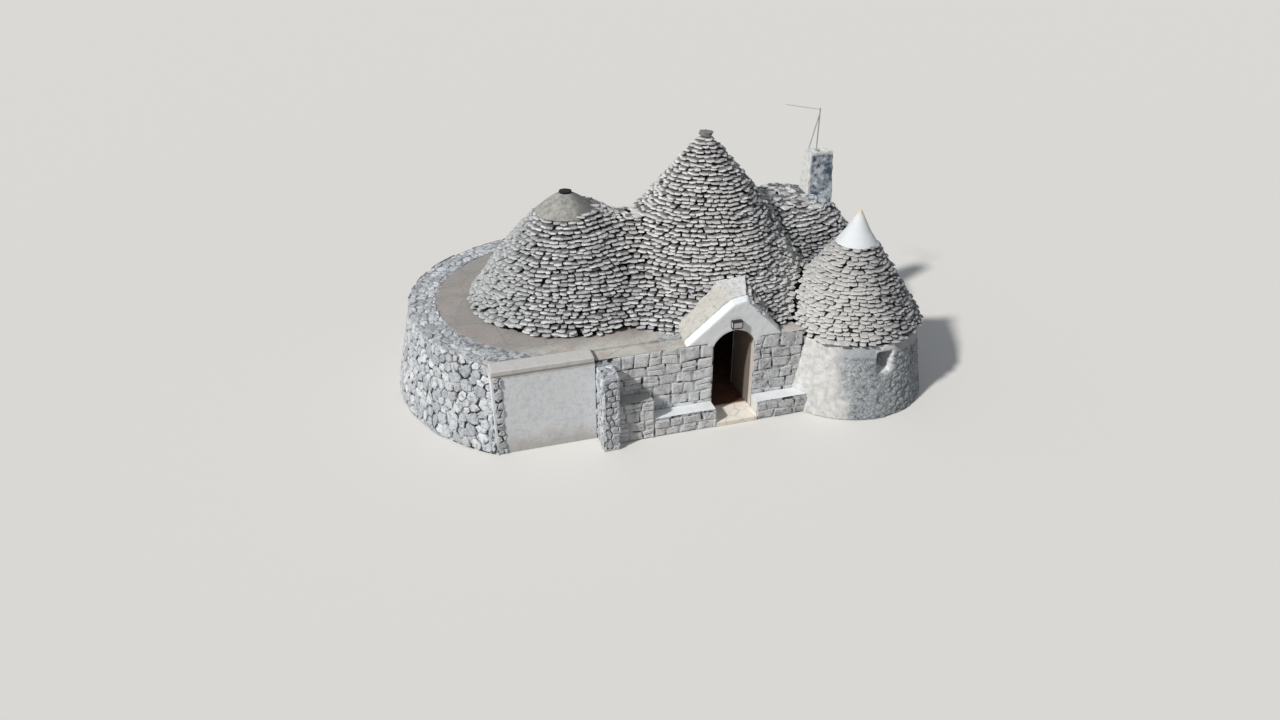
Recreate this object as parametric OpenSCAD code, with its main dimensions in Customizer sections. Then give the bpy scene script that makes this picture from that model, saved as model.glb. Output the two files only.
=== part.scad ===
// Trullo house: three dry stone cones and a hearth lobe on thick rubble walls,
// with a round walled terrace on the left and a round tower on the right.
// Origin: axis of the main cone at courtyard level. The facade faces -Y.

/* [Walls] */
// Height of the walls of the main body and the terrace drum
wall_h = 1900; // [1700:10:2300]
// Inside radius of the main room
main_room_r = 1850; // [1600:10:1950]
// Outside radius of the main wall
main_out_r = 3100; // [2950:10:3300]
// Ledge of the facade in front of the foot of the main cone
facade_ledge = 100; // [60:10:200]
// Left end of the facade
facade_left_x = -5600; // [-5750:10:-5400]
// Thickness of the facing wall left of the main body
facing_t = 450; // [350:10:550]
// Right end of the plastered panel
panel_right_x = -3450; // [-3700:10:-3300]

/* [Terrace drum] */
// Centre of the drum along the facade
drum_x = -3150; // [-3250:10:-3050]
// Centre of the drum across the facade
drum_y = 350; // [250:10:450]
// Radius of the drum at its top
drum_top_r = 3800; // [3600:10:4000]
// How much wider the drum is at the ground
drum_batter = 450; // [200:10:600]
// Thickness of the screed on the terrace
screed_t = 50; // [30:5:80]

/* [Left trullo] */
// Axis of the left cone along the facade
left_x = -3220; // [-3260:10:-3180]
// Axis of the left cone across the facade
left_y = 240; // [200:10:280]
// Inside radius of the left room
left_room_r = 1050; // [900:10:1100]
// Foot radius of the left cone
left_foot_r = 2340; // [2200:10:2450]
// Height of the apex of the left cone
left_apex_z = 4470; // [4200:10:4700]
// Height at which the cement cap starts
left_cap_z = 4000; // [3900:10:4100]
// Radius of the dark stone on the cement cap
left_stone_r = 150; // [100:10:200]
// Height of the dark stone on the cement cap
left_stone_h = 50; // [40:5:80]
// Height of the low step under the cone
left_step_h = 130; // [80:10:200]
// Overhang of the lowest course over the step
left_eave = 90; // [50:10:150]

/* [Main cone] */
// Foot radius of the main cone
main_foot_r = 2950; // [2800:10:3000]
// Height of the apex of the main cone
main_apex_z = 5600; // [5200:10:5900]
// Radius of the flat top stone
main_top_r = 150; // [100:10:220]
// Height of the top stone
main_top_h = 90; // [60:10:150]
// Height of the apex of the vault in the main room
main_vault_z = 4700; // [4300:10:4900]
// Height of the apex of the vault in the left room
left_vault_z = 3600; // [3300:10:3650]
// Height of the apex of the vault in the tower
tower_vault_z = 3000; // [2700:10:3100]

/* [Saddles] */
// Height of the ridge between the left and the main cone
saddle_z = 3780; // [3600:10:3790]
// Half width of the ridge at its top
saddle_top_w = 380; // [250:10:450]
// Half width of the ridge at its foot
saddle_foot_w = 1850; // [1600:10:1950]
// Height of the ridge between the main cone and the hearth lobe
hearth_saddle_z = 3560; // [3450:10:3620]
// Half width of that ridge at its top
hearth_saddle_top_w = 450; // [350:10:550]
// Half width of that ridge at its foot
hearth_saddle_foot_w = 1850; // [1700:10:1950]

/* [Courses of the cones] */
// Height of each course that the cones are stepped in
course_h = 300; // [200:10:450]
// Depth of the ledge on each course
course_ledge = 50; // [20:5:60]

/* [Tower] */
// Axis of the tower along the facade
tower_x = 2770; // [2700:10:2850]
// Axis of the tower across the facade
tower_y = -2310; // [-2380:10:-2250]
// Height of the tower wall
tower_wall_h = 1720; // [1650:10:1800]
// Radius of the tower wall at its top
tower_top_r = 1570; // [1500:10:1620]
// How much wider the tower is at the ground
tower_batter = 300; // [150:10:350]
// Inside radius of the tower room
tower_room_r = 1000; // [900:10:1050]
// Radius of the eave of the tower
tower_eave_r = 1690; // [1640:10:1750]
// Height at which the white cap starts
tower_cap_z = 3520; // [3450:10:3600]
// Height of the tip of the white cap
tower_tip_z = 4300; // [4200:10:4400]
// How far above the foot of the white cap the sides of the cone would meet
tower_point_h = 480; // [420:10:560]
// Direction that the tower window faces
window_a = -86.5; // [-92:0.5:-82]
// Width of the tower window
window_w = 380; // [300:10:420]
// Height of the tower window
window_h = 490; // [400:10:520]
// Height of the sill of the tower window
window_sill_z = 1050; // [950:10:1100]

/* [Doorway] */
// Middle of the doorway along the facade
door_x = -340; // [-400:10:-280]
// Clear width of the doorway
door_w = 950; // [850:10:1050]
// Height of the springing of the door arch
door_spring_z = 1800; // [1700:10:1850]
// Rise of the door arch
door_rise = 330; // [280:10:400]
// Depth of the voussoirs of the door arch
voussoir_t = 160; // [120:10:200]
// Height of the apex of the gable over the door
gable_z = 2820; // [2740:10:2900]
// How far right of the door the apex stands
gable_apex_x = 240; // [150:10:300]
// How far left of the door the slope of the gable bends
gable_knee_x = 50; // [0:10:150]
// How far below the apex it bends
gable_knee_drop = 60; // [40:10:100]
// Half width of the gable
gable_half_w = 1100; // [1000:10:1200]
// Thickness of the gable wall
gable_t = 200; // [150:10:250]
// Height of the back end of the gable ridge
ridge_back_z = 3060; // [3000:10:3120]
// How far right of the door the back end of the ridge lies
ridge_back_x = 590; // [500:10:700]
// How far left of the door the roof bends at its back
ridge_back_knee_x = 150; // [60:10:250]
// How much higher the eaves of the gable are at the back
eave_rise = 400; // [300:10:500]
// How far the ridge runs back from the facade
ridge_run = 1000; // [900:10:1100]

/* [Passages and hearth] */
// Width of the passages between the rooms
passage_w = 700; // [600:10:800]
// Height of the passages between the rooms
passage_h = 1680; // [1600:10:1700]
// Width of the wall blocks that hold the passages
link_w = 1800; // [1700:10:1900]
// Centre of the hearth lobe along the facade
hearth_x = 2470; // [2400:10:2550]
// Centre of the hearth lobe across the facade
hearth_y = 810; // [750:10:870]
// Radius of the hearth lobe at the ground and at the eave
hearth_r = 2150; // [2050:10:2250]
// Height of the blunt top of the hearth lobe
hearth_apex_z = 3630; // [3550:10:3750]
// Width of the hearth niche
niche_w = 1100; // [1000:10:1200]
// Height of the hearth niche
niche_h = 1600; // [1500:10:1650]
// Width of the flue
flue_w = 200; // [160:10:220]

/* [Chimney] */
// Middle of the chimney along the facade
chimney_x = 3280; // [3200:10:3350]
// Middle of the chimney across the facade
chimney_y = 750; // [700:10:800]
// Height at which the chimney stands in the roof
chimney_foot_z = 3250; // [3150:10:3350]
// Height of the top of the chimney
chimney_top_z = 4700; // [4500:10:4900]
// Width of the chimney at its top
chimney_w = 600; // [540:10:660]
// Depth of the chimney at its top
chimney_d = 370; // [340:10:440]
// How much wider the chimney is at its foot
chimney_batter = 180; // [60:10:220]
// Height of the aerial above the chimney
aerial_h = 970; // [800:10:1200]
// Diameter of the tubes of the aerial
aerial_d = 30; // [20:1:40]
// Length of the boom of the aerial
boom_l = 900; // [700:10:1000]
// How far the boom is turned towards the back
boom_turn = 50; // [30:5:70]
// Distance between the feet of the mast and its stay
stay_foot = 210; // [180:5:240]

/* [Courtyard side] */
// Height of the benches beside the door
bench_h = 460; // [400:10:520]
// Depth of the benches
bench_d = 370; // [320:10:420]
// Left end of the left bench
bench_left_x = -2250; // [-2350:10:-2150]
// Right end of the right bench
bench_right_x = 1400; // [1300:10:1500]
// Height of the stone step left of the bench
step_h = 950; // [850:10:1050]
// Height of the pier at the end of the panel
pier_h = 1780; // [1650:10:1850]
// Width of the pier
pier_w = 380; // [320:10:450]
// Depth of the pier at its foot
pier_foot_d = 580; // [500:10:650]
// Depth of the pier at its top
pier_top_d = 360; // [300:10:420]
// Thickness of the coping on the panel
coping_t = 110; // [80:10:150]
// Depth of the coping
coping_d = 400; // [350:10:440]
// How far the coping stands out over the panel
coping_nose = 30; // [20:5:50]
// Thickness of the floors
floor_t = 100; // [80:10:150]
// Width of the lantern over the door
lantern_w = 230; // [200:10:260]
// Width of the lantern at its foot
lantern_foot_w = 150; // [120:10:180]
// Height of the lantern
lantern_h = 170; // [150:10:200]
// Height of the hood of the lantern
lantern_hood = 40; // [30:5:60]
// Height of the lantern above the crown of the door arch
lantern_gap = 100; // [60:10:140]
// How far the lantern stands out from the gable
lantern_d = 110; // [90:10:140]

/* [Hidden] */
$fn = 240;

reach = 9000;
tall = 8000;
cut = 60;
profile_steps = 12;
main_fullness = 0.87;
left_fullness = 0.7;
tower_fullness = 0.82;
hearth_fullness = 0.28;
// How much the courses of the blunt lobe get lower towards its top
hearth_bunching = 2;
vault_fullness = 0.75;
tower_apex_z = tower_cap_z + tower_point_h;
facade_y = main_foot_r + facade_ledge;
left_dir = atan2(left_y, left_x);
left_dist = norm([left_x, left_y]);
tower_dir = atan2(tower_y, tower_x);
tower_dist = norm([tower_x, tower_y]);
hearth_dir = atan2(hearth_y, hearth_x);
hearth_dist = norm([hearth_x, hearth_y]);
seam_d = (main_room_r + left_dist - left_room_r) / 2;
flue_dir = atan2(chimney_y, chimney_x);
flue_dist = norm([chimney_x, chimney_y]);
niche_end = flue_dist + flue_w / 2 * (cos(flue_dir) + sin(flue_dir));
front_dir = -90;
hearth_from = -8;
hearth_to = 48;
back_joints = [83, 116];
drum_joints = [-270, -210, -150, -90, 0, 90];
tower_joints = [25, 110, 158, 245, 335];
door_left_x = door_x - door_w / 2;
door_right_x = door_x + door_w / 2;
arch_r = (pow(door_w / 2, 2) + pow(door_rise, 2)) / (2 * door_rise);
arch_z = door_spring_z + door_rise - arch_r;
facing_back_y = -facade_y + facing_t;
left_top_z = left_apex_z - left_stone_h;
tower_foot_r = tower_top_r + tower_batter;
tower_neck_r = bulge_r(tower_eave_r, tower_wall_h, tower_apex_z, tower_fullness, wall_h);

stone_grey = [0.66, 0.64, 0.61];
lime_white = [0.86, 0.88, 0.89];
lime_cream = [0.84, 0.82, 0.76];
rough_stone = [0.70, 0.71, 0.71];
cement_grey = [0.60, 0.61, 0.59];
floor_brown = [0.48, 0.35, 0.30];

// Profile of the white cap of the tower, as shares of its foot radius and of its height
cap_profile = [[1, 0], [0.58, 0.37], [0.27, 0.72], [0.1, 0.92], [0, 1]];

// Radius at height z of a cone whose sides bulge a little
function bulge_r(foot_r, foot_z, apex_z, fullness, z) =
    foot_r * pow(max(apex_z - z, 0) / (apex_z - foot_z), fullness);

// Outline of such a cone from foot_z up to top_z, as points of radius and height
function bulge_outline(foot_r, foot_z, apex_z, fullness, top_z) = concat(
    [[0, foot_z]],
    [for (i = [0 : profile_steps]) let (z = foot_z + (top_z - foot_z) * i / profile_steps)
        [bulge_r(foot_r, foot_z, apex_z, fullness, z), z]],
    top_z < apex_z ? [[0, top_z]] : []
);

// Outline of such a cone laid in courses, each with a ledge on its top. Bunching of more than 1
// makes the courses lower towards the top
function course_outline(foot_r, foot_z, apex_z, fullness, top_z, bunching = 1) =
    let (n = round((top_z - foot_z) / course_h))
    concat(
        [[0, foot_z]],
        [for (i = [0 : n - 1]) for (top = [0, 1])
            let (z = top_z - (top_z - foot_z) * pow(1 - (i + top) / n, bunching))
            [bulge_r(foot_r, foot_z, apex_z, fullness, z) + top * course_ledge, z]],
        [[0, top_z]]
    );

// The right side of a saddle between two cones, laid in courses too
function saddle_side(top_w, foot_w, top_z) =
    let (n = round((top_z - wall_h) / course_h))
    [for (i = [0 : n - 1]) for (top = [0, 1]) let (share = (i + top) / n)
        [foot_w + (top_w - foot_w) * share + top * course_ledge, wall_h + (top_z - wall_h) * share]];

module at_left() { translate([left_x, left_y, 0]) children(); }
module at_drum() { translate([drum_x, drum_y, 0]) children(); }
module at_tower() { translate([tower_x, tower_y, 0]) children(); }
module at_hearth() { translate([hearth_x, hearth_y, 0]) children(); }
module at_door() { translate([door_x, 0, 0]) children(); }
module at_chimney() { translate([chimney_x, chimney_y, 0]) children(); }

// Slice of space between two directions, at most 130 degrees apart
module sector(from, to) {
    middle = (from + to) / 2;
    linear_extrude(height = tall)
        polygon([[0, 0], reach * [cos(from), sin(from)], 2 * reach * [cos(middle), sin(middle)],
                 reach * [cos(to), sin(to)]]);
}

// Box along a direction from the main axis, between two distances and two offsets
module beam(dir, from_d, to_d, from_t, to_t, from_z, to_z) {
    rotate([0, 0, dir])
        translate([from_d, from_t, from_z])
            cube([to_d - from_d, to_t - from_t, to_z - from_z]);
}

module left_side() { beam(left_dir, seam_d, reach, -reach, reach, -cut, tall); }
module main_side() { beam(left_dir, -reach, seam_d, -reach, reach, -cut, tall); }
module behind_facade() { translate([-reach, -facade_y, 0]) cube([2 * reach, 2 * reach, tall]); }
module facing_zone() {
    translate([facade_left_x, -reach, -cut]) cube([reach, reach + facing_back_y, tall]);
}

// Hollow spaces inside
module main_room() { translate([0, 0, -cut]) cylinder(h = wall_h + 2 * cut, r = main_room_r); }
module left_room() { at_left() translate([0, 0, -cut]) cylinder(h = wall_h + 2 * cut, r = left_room_r); }
module tower_room() { at_tower() translate([0, 0, -cut]) cylinder(h = wall_h + 2 * cut, r = tower_room_r); }
module main_vault() {
    rotate_extrude() polygon(bulge_outline(main_room_r, wall_h, main_vault_z, vault_fullness, main_vault_z));
}
module left_vault() {
    at_left() rotate_extrude()
        polygon(bulge_outline(left_room_r, wall_h, left_vault_z, vault_fullness, left_vault_z));
}
module tower_vault() {
    at_tower() rotate_extrude()
        polygon(bulge_outline(tower_room_r, tower_wall_h, tower_vault_z, vault_fullness, tower_vault_z));
}
module flue() {
    at_chimney() translate([-flue_w / 2, -flue_w / 2, niche_h - cut]) cube([flue_w, flue_w, tall]);
}
module niche() { beam(flue_dir, 0, niche_end, -niche_w / 2 - cut, niche_w / 2 + cut, floor_t, niche_h); }
module left_link() { beam(left_dir, 0, left_dist, -link_w / 2, link_w / 2, -cut, wall_h); }
module tower_link() { beam(tower_dir, 0, tower_dist, -link_w / 2, link_w / 2, -cut, wall_h); }

// Space taken by the voussoirs and the opening of the door arch
module arch_zone() {
    intersection() {
        at_door() translate([0, 0, arch_z]) rotate([90, 0, 0]) cylinder(h = reach, r = arch_r + voussoir_t);
        translate([-reach, -reach, door_spring_z]) cube([2 * reach, reach, tall]);
    }
}

// Outer shapes
module drum_mass() {
    at_drum() cylinder(h = wall_h, r1 = drum_top_r + drum_batter, r2 = drum_top_r);
}
module tower_mass() { at_tower() cylinder(h = tower_wall_h, r1 = tower_foot_r, r2 = tower_top_r); }
module tower_eave() {
    at_tower() translate([0, 0, tower_wall_h])
        cylinder(h = wall_h - tower_wall_h, r1 = tower_eave_r, r2 = tower_neck_r);
}
module tower_cone() {
    tower_eave();
    at_tower() rotate_extrude()
        polygon(course_outline(tower_neck_r, wall_h, tower_apex_z, tower_fullness, tower_cap_z));
}
module main_cone() {
    rotate_extrude()
        polygon(course_outline(main_foot_r, wall_h, main_apex_z, main_fullness, main_apex_z - main_top_h));
}
module left_cone() {
    at_left() {
        translate([0, 0, wall_h]) cylinder(h = left_step_h, r = left_foot_r - left_eave);
        rotate_extrude() polygon(
            course_outline(left_foot_r, wall_h + left_step_h, left_apex_z, left_fullness, left_cap_z));
    }
}
module saddle(dir, length, top_w, foot_w, top_z) {
    side = saddle_side(top_w, foot_w, top_z);
    rotate([0, 0, dir]) rotate([90, 0, 90]) linear_extrude(height = length)
        polygon(concat(side, [for (i = [len(side) - 1 : -1 : 0]) [-side[i][0], side[i][1]]]));
}
module left_saddle() { saddle(left_dir, left_dist, saddle_top_w, saddle_foot_w, saddle_z); }
module hearth_saddle() {
    saddle(hearth_dir, hearth_dist, hearth_saddle_top_w, hearth_saddle_foot_w, hearth_saddle_z);
}
module hearth_cone() {
    at_hearth() rotate_extrude()
        polygon(course_outline(hearth_r, wall_h, hearth_apex_z, hearth_fullness, hearth_apex_z,
                               hearth_bunching));
}
module main_mass() {
    intersection() {
        union() {
            cylinder(h = wall_h, r = main_out_r);
            at_hearth() cylinder(h = wall_h, r = hearth_r);
            translate([-main_out_r, -facade_y, 0])
                cube([main_out_r + tower_x - tower_room_r, facade_y, wall_h]);
            drum_mass();
        }
        behind_facade();
    }
}

// One stretch of the drum, between two joints seen from the left axis
module drum_stretch(joint) {
    outward = left_dir + 180;
    color(lime_white) difference() {
        intersection() {
            drum_mass();
            at_left() sector(outward + drum_joints[joint], outward + drum_joints[joint + 1]);
            left_side();
        }
        left_room();
        left_link();
        facing_zone();
    }
}

// One stretch of the main wall, between two directions from the main axis
module main_stretch(from, to) {
    difference() {
        intersection() {
            main_mass();
            sector(from, to);
            main_side();
        }
        main_room();
        left_link();
        tower_mass();
        tower_eave();
        arch_zone();
    }
}

// The same, kept clear of the blocks beside the tower passage
module stretch_by_tower(from, to, from_t, to_t) {
    color(rough_stone) intersection() {
        main_stretch(from, to);
        beam(tower_dir, 0, reach, from_t, to_t, 0, wall_h);
    }
}

// One stretch of the tower wall, between two joints seen from its axis
module tower_stretch(joint) {
    inward = tower_dir + 180;
    color(lime_white) difference() {
        intersection() {
            tower_mass();
            at_tower() sector(inward + tower_joints[joint], inward + tower_joints[joint + 1]);
        }
        tower_room();
        tower_link();
    }
}

module main_floor() { color(floor_brown) cylinder(h = floor_t, r = main_room_r); }
module left_floor() {
    color(floor_brown) difference() {
        union() {
            at_left() cylinder(h = floor_t, r = left_room_r);
            beam(left_dir, 0, left_dist, -passage_w / 2, passage_w / 2, 0, floor_t);
        }
        main_room();
    }
}
module tower_floor() {
    color(floor_brown) difference() {
        union() {
            at_tower() rotate(tower_dir + 180) cylinder(h = floor_t, r = tower_room_r);
            beam(tower_dir, main_room_r - cut, tower_dist, -passage_w / 2, passage_w / 2, 0, floor_t);
        }
        main_room();
    }
}
module threshold() {
    color(floor_brown) difference() {
        translate([door_left_x, -facade_y - bench_d, 0]) cube([door_w, facade_y + bench_d, floor_t]);
        main_room();
    }
}

module drum_wall_front_left() { drum_stretch(0); }
module drum_wall_left() { drum_stretch(1); }
module drum_wall_back() { drum_stretch(2); }
module drum_wall_back_link() { drum_stretch(3); }
module drum_wall_front_link() { drum_stretch(4); }

module facing(from_x, to_x) {
    intersection() {
        translate([from_x, -facade_y, 0]) cube([to_x - from_x, facing_t, wall_h]);
        left_side();
    }
}
module panel_wall() { color(lime_white) facing(facade_left_x, panel_right_x); }
module step_wall() { color(rough_stone) facing(panel_right_x, 0); }

module front_wall_left() {
    color(rough_stone) difference() {
        main_stretch(left_dir - 360, front_dir);
        translate([door_left_x, -reach, -cut]) cube([2 * reach, reach, tall]);
    }
}
module front_wall_right() {
    difference() {
        stretch_by_tower(front_dir, 0, -reach, -link_w / 2);
        translate([door_right_x - 2 * reach, -reach, -cut]) cube([2 * reach, reach, tall]);
    }
}
module main_wall_right() { stretch_by_tower(front_dir, hearth_from, link_w / 2, reach); }
module main_wall_back_right() { color(rough_stone) main_stretch(hearth_to, back_joints[0]); }
module main_wall_back() { color(rough_stone) main_stretch(back_joints[0], back_joints[1]); }
module main_wall_back_left() { color(rough_stone) main_stretch(back_joints[1], left_dir); }

module hearth_side(from_t, to_t) {
    color(rough_stone) intersection() {
        main_stretch(hearth_from, hearth_to);
        beam(flue_dir, 0, reach, from_t, to_t, 0, wall_h);
    }
}
module hearth_wall_front() { hearth_side(-reach, -niche_w / 2); }
module hearth_wall_back() { hearth_side(niche_w / 2, reach); }
module hearth_breast() {
    difference() {
        hearth_side(-niche_w / 2, niche_w / 2);
        niche();
        flue();
    }
}

// Block beside or over a passage, hollowed by the rooms at both ends
module left_link_part(from_t, to_t, from_z) {
    color(rough_stone) difference() {
        beam(left_dir, 0, left_dist, from_t, to_t, from_z, wall_h);
        main_room();
        left_room();
    }
}
module left_passage_front() { left_link_part(passage_w / 2, link_w / 2, 0); }
module left_passage_back() { left_link_part(-link_w / 2, -passage_w / 2, 0); }
module left_passage_lintel() { left_link_part(-passage_w / 2, passage_w / 2, passage_h); }
module tower_link_part(from_t, to_t, from_z) {
    color(rough_stone) difference() {
        beam(tower_dir, 0, tower_dist, from_t, to_t, from_z, wall_h);
        main_room();
        tower_room();
        tower_eave();
    }
}
module tower_passage_front() { tower_link_part(-link_w / 2, -passage_w / 2, 0); }
module tower_passage_back() { tower_link_part(passage_w / 2, link_w / 2, 0); }
module tower_passage_lintel() { tower_link_part(-passage_w / 2, passage_w / 2, passage_h); }

module tower_wall_left() { tower_stretch(0); }
module tower_wall_window() {
    difference() {
        tower_stretch(1);
        at_tower() rotate([0, 0, window_a])
            translate([0, -window_w / 2, window_sill_z]) cube([reach, window_w, window_h]);
    }
}
module tower_wall_right() { tower_stretch(2); }
module tower_wall_back() { tower_stretch(3); }

module door_arch() {
    color(lime_white) difference() {
        intersection() {
            arch_zone();
            behind_facade();
        }
        at_door() translate([0, 0, arch_z]) rotate([90, 0, 0]) cylinder(h = reach, r = arch_r);
        main_room();
        main_vault();
    }
}

// Solid that swells from the gable back to the cone, with a bend left of its ridge
module gable_body() {
    slice = 10;
    hull() {
        at_door() translate([0, -facade_y + slice, 0]) rotate([90, 0, 0]) linear_extrude(height = slice)
            polygon([[-gable_half_w, wall_h], [gable_half_w, wall_h], [gable_apex_x, gable_z],
                     [-gable_knee_x, gable_z - gable_knee_drop]]);
        at_door() translate([0, -facade_y + ridge_run, 0]) rotate([90, 0, 0]) linear_extrude(height = slice)
            polygon([[-gable_half_w, wall_h], [gable_half_w, wall_h],
                     [gable_half_w, wall_h + eave_rise], [ridge_back_x, ridge_back_z],
                     [-ridge_back_knee_x, ridge_back_z - gable_knee_drop],
                     [-gable_half_w, wall_h + eave_rise]]);
    }
}
module gable_part(from_y, to_y) {
    difference() {
        intersection() {
            gable_body();
            translate([-reach, from_y, 0]) cube([2 * reach, to_y - from_y, tall]);
        }
        main_cone();
        arch_zone();
    }
}
// All that lies to one side of the ridge, to the right where side is 1
module ridge_side(side) {
    ridge_lean = (ridge_back_x - gable_apex_x) / ridge_run;
    at_door() translate([gable_apex_x, -facade_y, 0]) linear_extrude(height = tall)
        polygon([[0, 0], [ridge_lean * facade_y, facade_y], [side * reach, facade_y], [side * reach, 0]]);
}
module gable_wall() { color(lime_white) gable_part(-facade_y, -facade_y + gable_t); }
module gable_slope_left() {
    color(lime_cream) intersection() {
        gable_part(-facade_y + gable_t, 0);
        ridge_side(-1);
    }
}
module gable_slope_right() {
    color(stone_grey) intersection() {
        gable_part(-facade_y + gable_t, 0);
        ridge_side(1);
    }
}

// The main and the left cone run into each other over a saddle
module joined_cones() {
    main_cone();
    left_cone();
    left_saddle();
}
module main_roof() {
    color(stone_grey) difference() {
        joined_cones();
        left_side();
        main_vault();
        tower_cone();
        arch_zone();
    }
}
module main_top_stone() {
    color(cement_grey) translate([0, 0, main_apex_z - main_top_h]) cylinder(h = main_top_h, r = main_top_r);
}
module left_roof() {
    color(stone_grey) difference() {
        joined_cones();
        main_side();
        left_vault();
    }
}
module left_cap() {
    cap_foot_r = bulge_r(left_foot_r, wall_h + left_step_h, left_apex_z, left_fullness, left_cap_z);
    color(cement_grey) at_left() rotate_extrude()
        polygon(bulge_outline(cap_foot_r, left_cap_z, left_apex_z, left_fullness, left_top_z));
}
module left_cap_stone() {
    color([0.35, 0.36, 0.36]) at_left() translate([0, 0, left_top_z])
        cylinder(h = left_stone_h, r = left_stone_r);
}
module hearth_roof() {
    color(stone_grey) difference() {
        union() {
            hearth_cone();
            hearth_saddle();
        }
        main_cone();
        tower_cone();
        flue();
        at_chimney() chimney_block();
    }
}
module tower_roof() {
    color(stone_grey) difference() {
        tower_cone();
        tower_vault();
    }
}
module tower_cap() {
    foot_r = bulge_r(tower_eave_r, tower_wall_h, tower_apex_z, tower_fullness, tower_cap_z);
    cap_h = tower_tip_z - tower_cap_z;
    color([0.95, 0.96, 0.97]) at_tower() translate([0, 0, tower_cap_z]) rotate_extrude()
        polygon(concat([[0, 0]], [for (share = cap_profile) [foot_r * share[0], cap_h * share[1]]]));
}

// Side view of the chimney, narrower at the top, run through in the other direction
module chimney_taper(top_w) {
    foot_w = top_w + chimney_batter;
    rotate([90, 0, 0]) linear_extrude(height = 2 * foot_w, center = true)
        polygon([[-foot_w / 2, chimney_foot_z], [foot_w / 2, chimney_foot_z],
                 [top_w / 2, chimney_top_z], [-top_w / 2, chimney_top_z]]);
}
module chimney_block() {
    intersection() {
        chimney_taper(chimney_w);
        rotate([0, 0, 90]) chimney_taper(chimney_d);
    }
}
module chimney() {
    color(lime_white) difference() {
        at_chimney() chimney_block();
        flue();
    }
}
module tube(length) { cylinder(h = length, d = aerial_d, $fn = 12); }
// Mast on the back rim, with a stay that leans on it and a boom at its top
module aerial() {
    rim = (chimney_d - flue_w) / 4 + flue_w / 2;
    stay_h = aerial_h - 4 * aerial_d;
    color("silver") at_chimney() translate([0, rim, chimney_top_z]) {
        tube(aerial_h);
        translate([0, 0, aerial_h - aerial_d]) rotate([0, 0, -boom_turn]) rotate([0, -90, 0]) tube(boom_l);
        intersection() {
            translate([-stay_foot, 0, 0]) rotate([0, atan2(stay_foot, stay_h), 0])
                translate([0, 0, -aerial_d]) tube(norm([stay_foot, stay_h]) + aerial_d);
            translate([-reach, -reach, 0]) cube(2 * reach);
        }
    }
}

module terrace_screed() {
    color([0.72, 0.69, 0.64]) translate([0, 0, wall_h]) linear_extrude(height = screed_t) difference() {
        intersection() {
            union() {
                translate([drum_x, drum_y]) circle(r = drum_top_r);
                translate([facade_left_x, -facade_y])
                    square([-facade_left_x + door_x - gable_half_w, facing_t]);
            }
            translate([-reach, -facade_y + coping_d]) square([2 * reach, 2 * reach]);
        }
        translate([left_x, left_y]) circle(r = left_foot_r - left_eave);
        circle(r = main_foot_r);
        translate([door_x - gable_half_w, -reach]) square([reach, reach]);
        rotate(left_dir) translate([0, -saddle_foot_w]) square([left_dist, 2 * saddle_foot_w]);
    }
}
module panel_coping() {
    color([0.88, 0.87, 0.84])
        translate([facade_left_x, -facade_y - coping_nose, wall_h])
            cube([panel_right_x - facade_left_x, coping_d + coping_nose, coping_t]);
}
module panel_pier() {
    color(rough_stone) translate([panel_right_x, 0, 0]) rotate([90, 0, 90]) linear_extrude(height = pier_w)
        polygon([[-facade_y, 0], [-facade_y - pier_foot_d, 0], [-facade_y - pier_top_d, pier_h],
                 [-facade_y, pier_h]]);
}
module stone_step() {
    color(rough_stone) translate([panel_right_x + pier_w, -facade_y - bench_d, 0])
        cube([bench_left_x - panel_right_x - pier_w, bench_d, step_h]);
}
module bench_left() {
    color(rough_stone) translate([bench_left_x, -facade_y - bench_d, 0])
        cube([door_left_x - bench_left_x, bench_d, bench_h]);
}
module bench_right() {
    color(rough_stone) difference() {
        translate([door_right_x, -facade_y - bench_d, 0])
            cube([bench_right_x - door_right_x, bench_d, bench_h]);
        tower_mass();
    }
}
module wall_lantern() {
    lantern_z = door_spring_z + door_rise + lantern_gap;
    color([0.25, 0.24, 0.22]) translate([door_x, -facade_y, lantern_z]) rotate([90, 0, 0])
        linear_extrude(height = lantern_d)
            polygon([[-lantern_foot_w / 2, 0], [lantern_foot_w / 2, 0],
                     [lantern_w / 2, lantern_h - lantern_hood], [lantern_w / 2, lantern_h],
                     [-lantern_w / 2, lantern_h], [-lantern_w / 2, lantern_h - lantern_hood]]);
}

main_floor();
left_floor();
tower_floor();
threshold();
drum_wall_back_link();
drum_wall_back();
drum_wall_left();
drum_wall_front_left();
drum_wall_front_link();
panel_wall();
step_wall();
front_wall_left();
front_wall_right();
main_wall_right();
main_wall_back_right();
main_wall_back();
main_wall_back_left();
hearth_wall_front();
hearth_wall_back();
hearth_breast();
left_passage_front();
left_passage_back();
left_passage_lintel();
tower_passage_front();
tower_passage_back();
tower_passage_lintel();
tower_wall_left();
tower_wall_window();
tower_wall_right();
tower_wall_back();
door_arch();
gable_wall();
gable_slope_left();
gable_slope_right();
main_roof();
main_top_stone();
left_roof();
left_cap();
left_cap_stone();
hearth_roof();
tower_roof();
tower_cap();
chimney();
aerial();
terrace_screed();
panel_coping();
panel_pier();
stone_step();
bench_left();
bench_right();
wall_lantern();
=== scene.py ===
# %% [markdown]
# # A trullo: a farmhouse of dry stone cones
# A trullo is built without mortar. Thick rubble walls carry cones of flat limestone slabs, each course set a
# little further in than the one below. The walls are limewashed, and the roofs are left bare.
# The solids of the house are loaded first. Everything below gives them their stones and their finish.

# %% Load the house
import math

import bmesh
import bpy
import numpy as np
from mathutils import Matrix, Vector, geometry, noise


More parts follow.
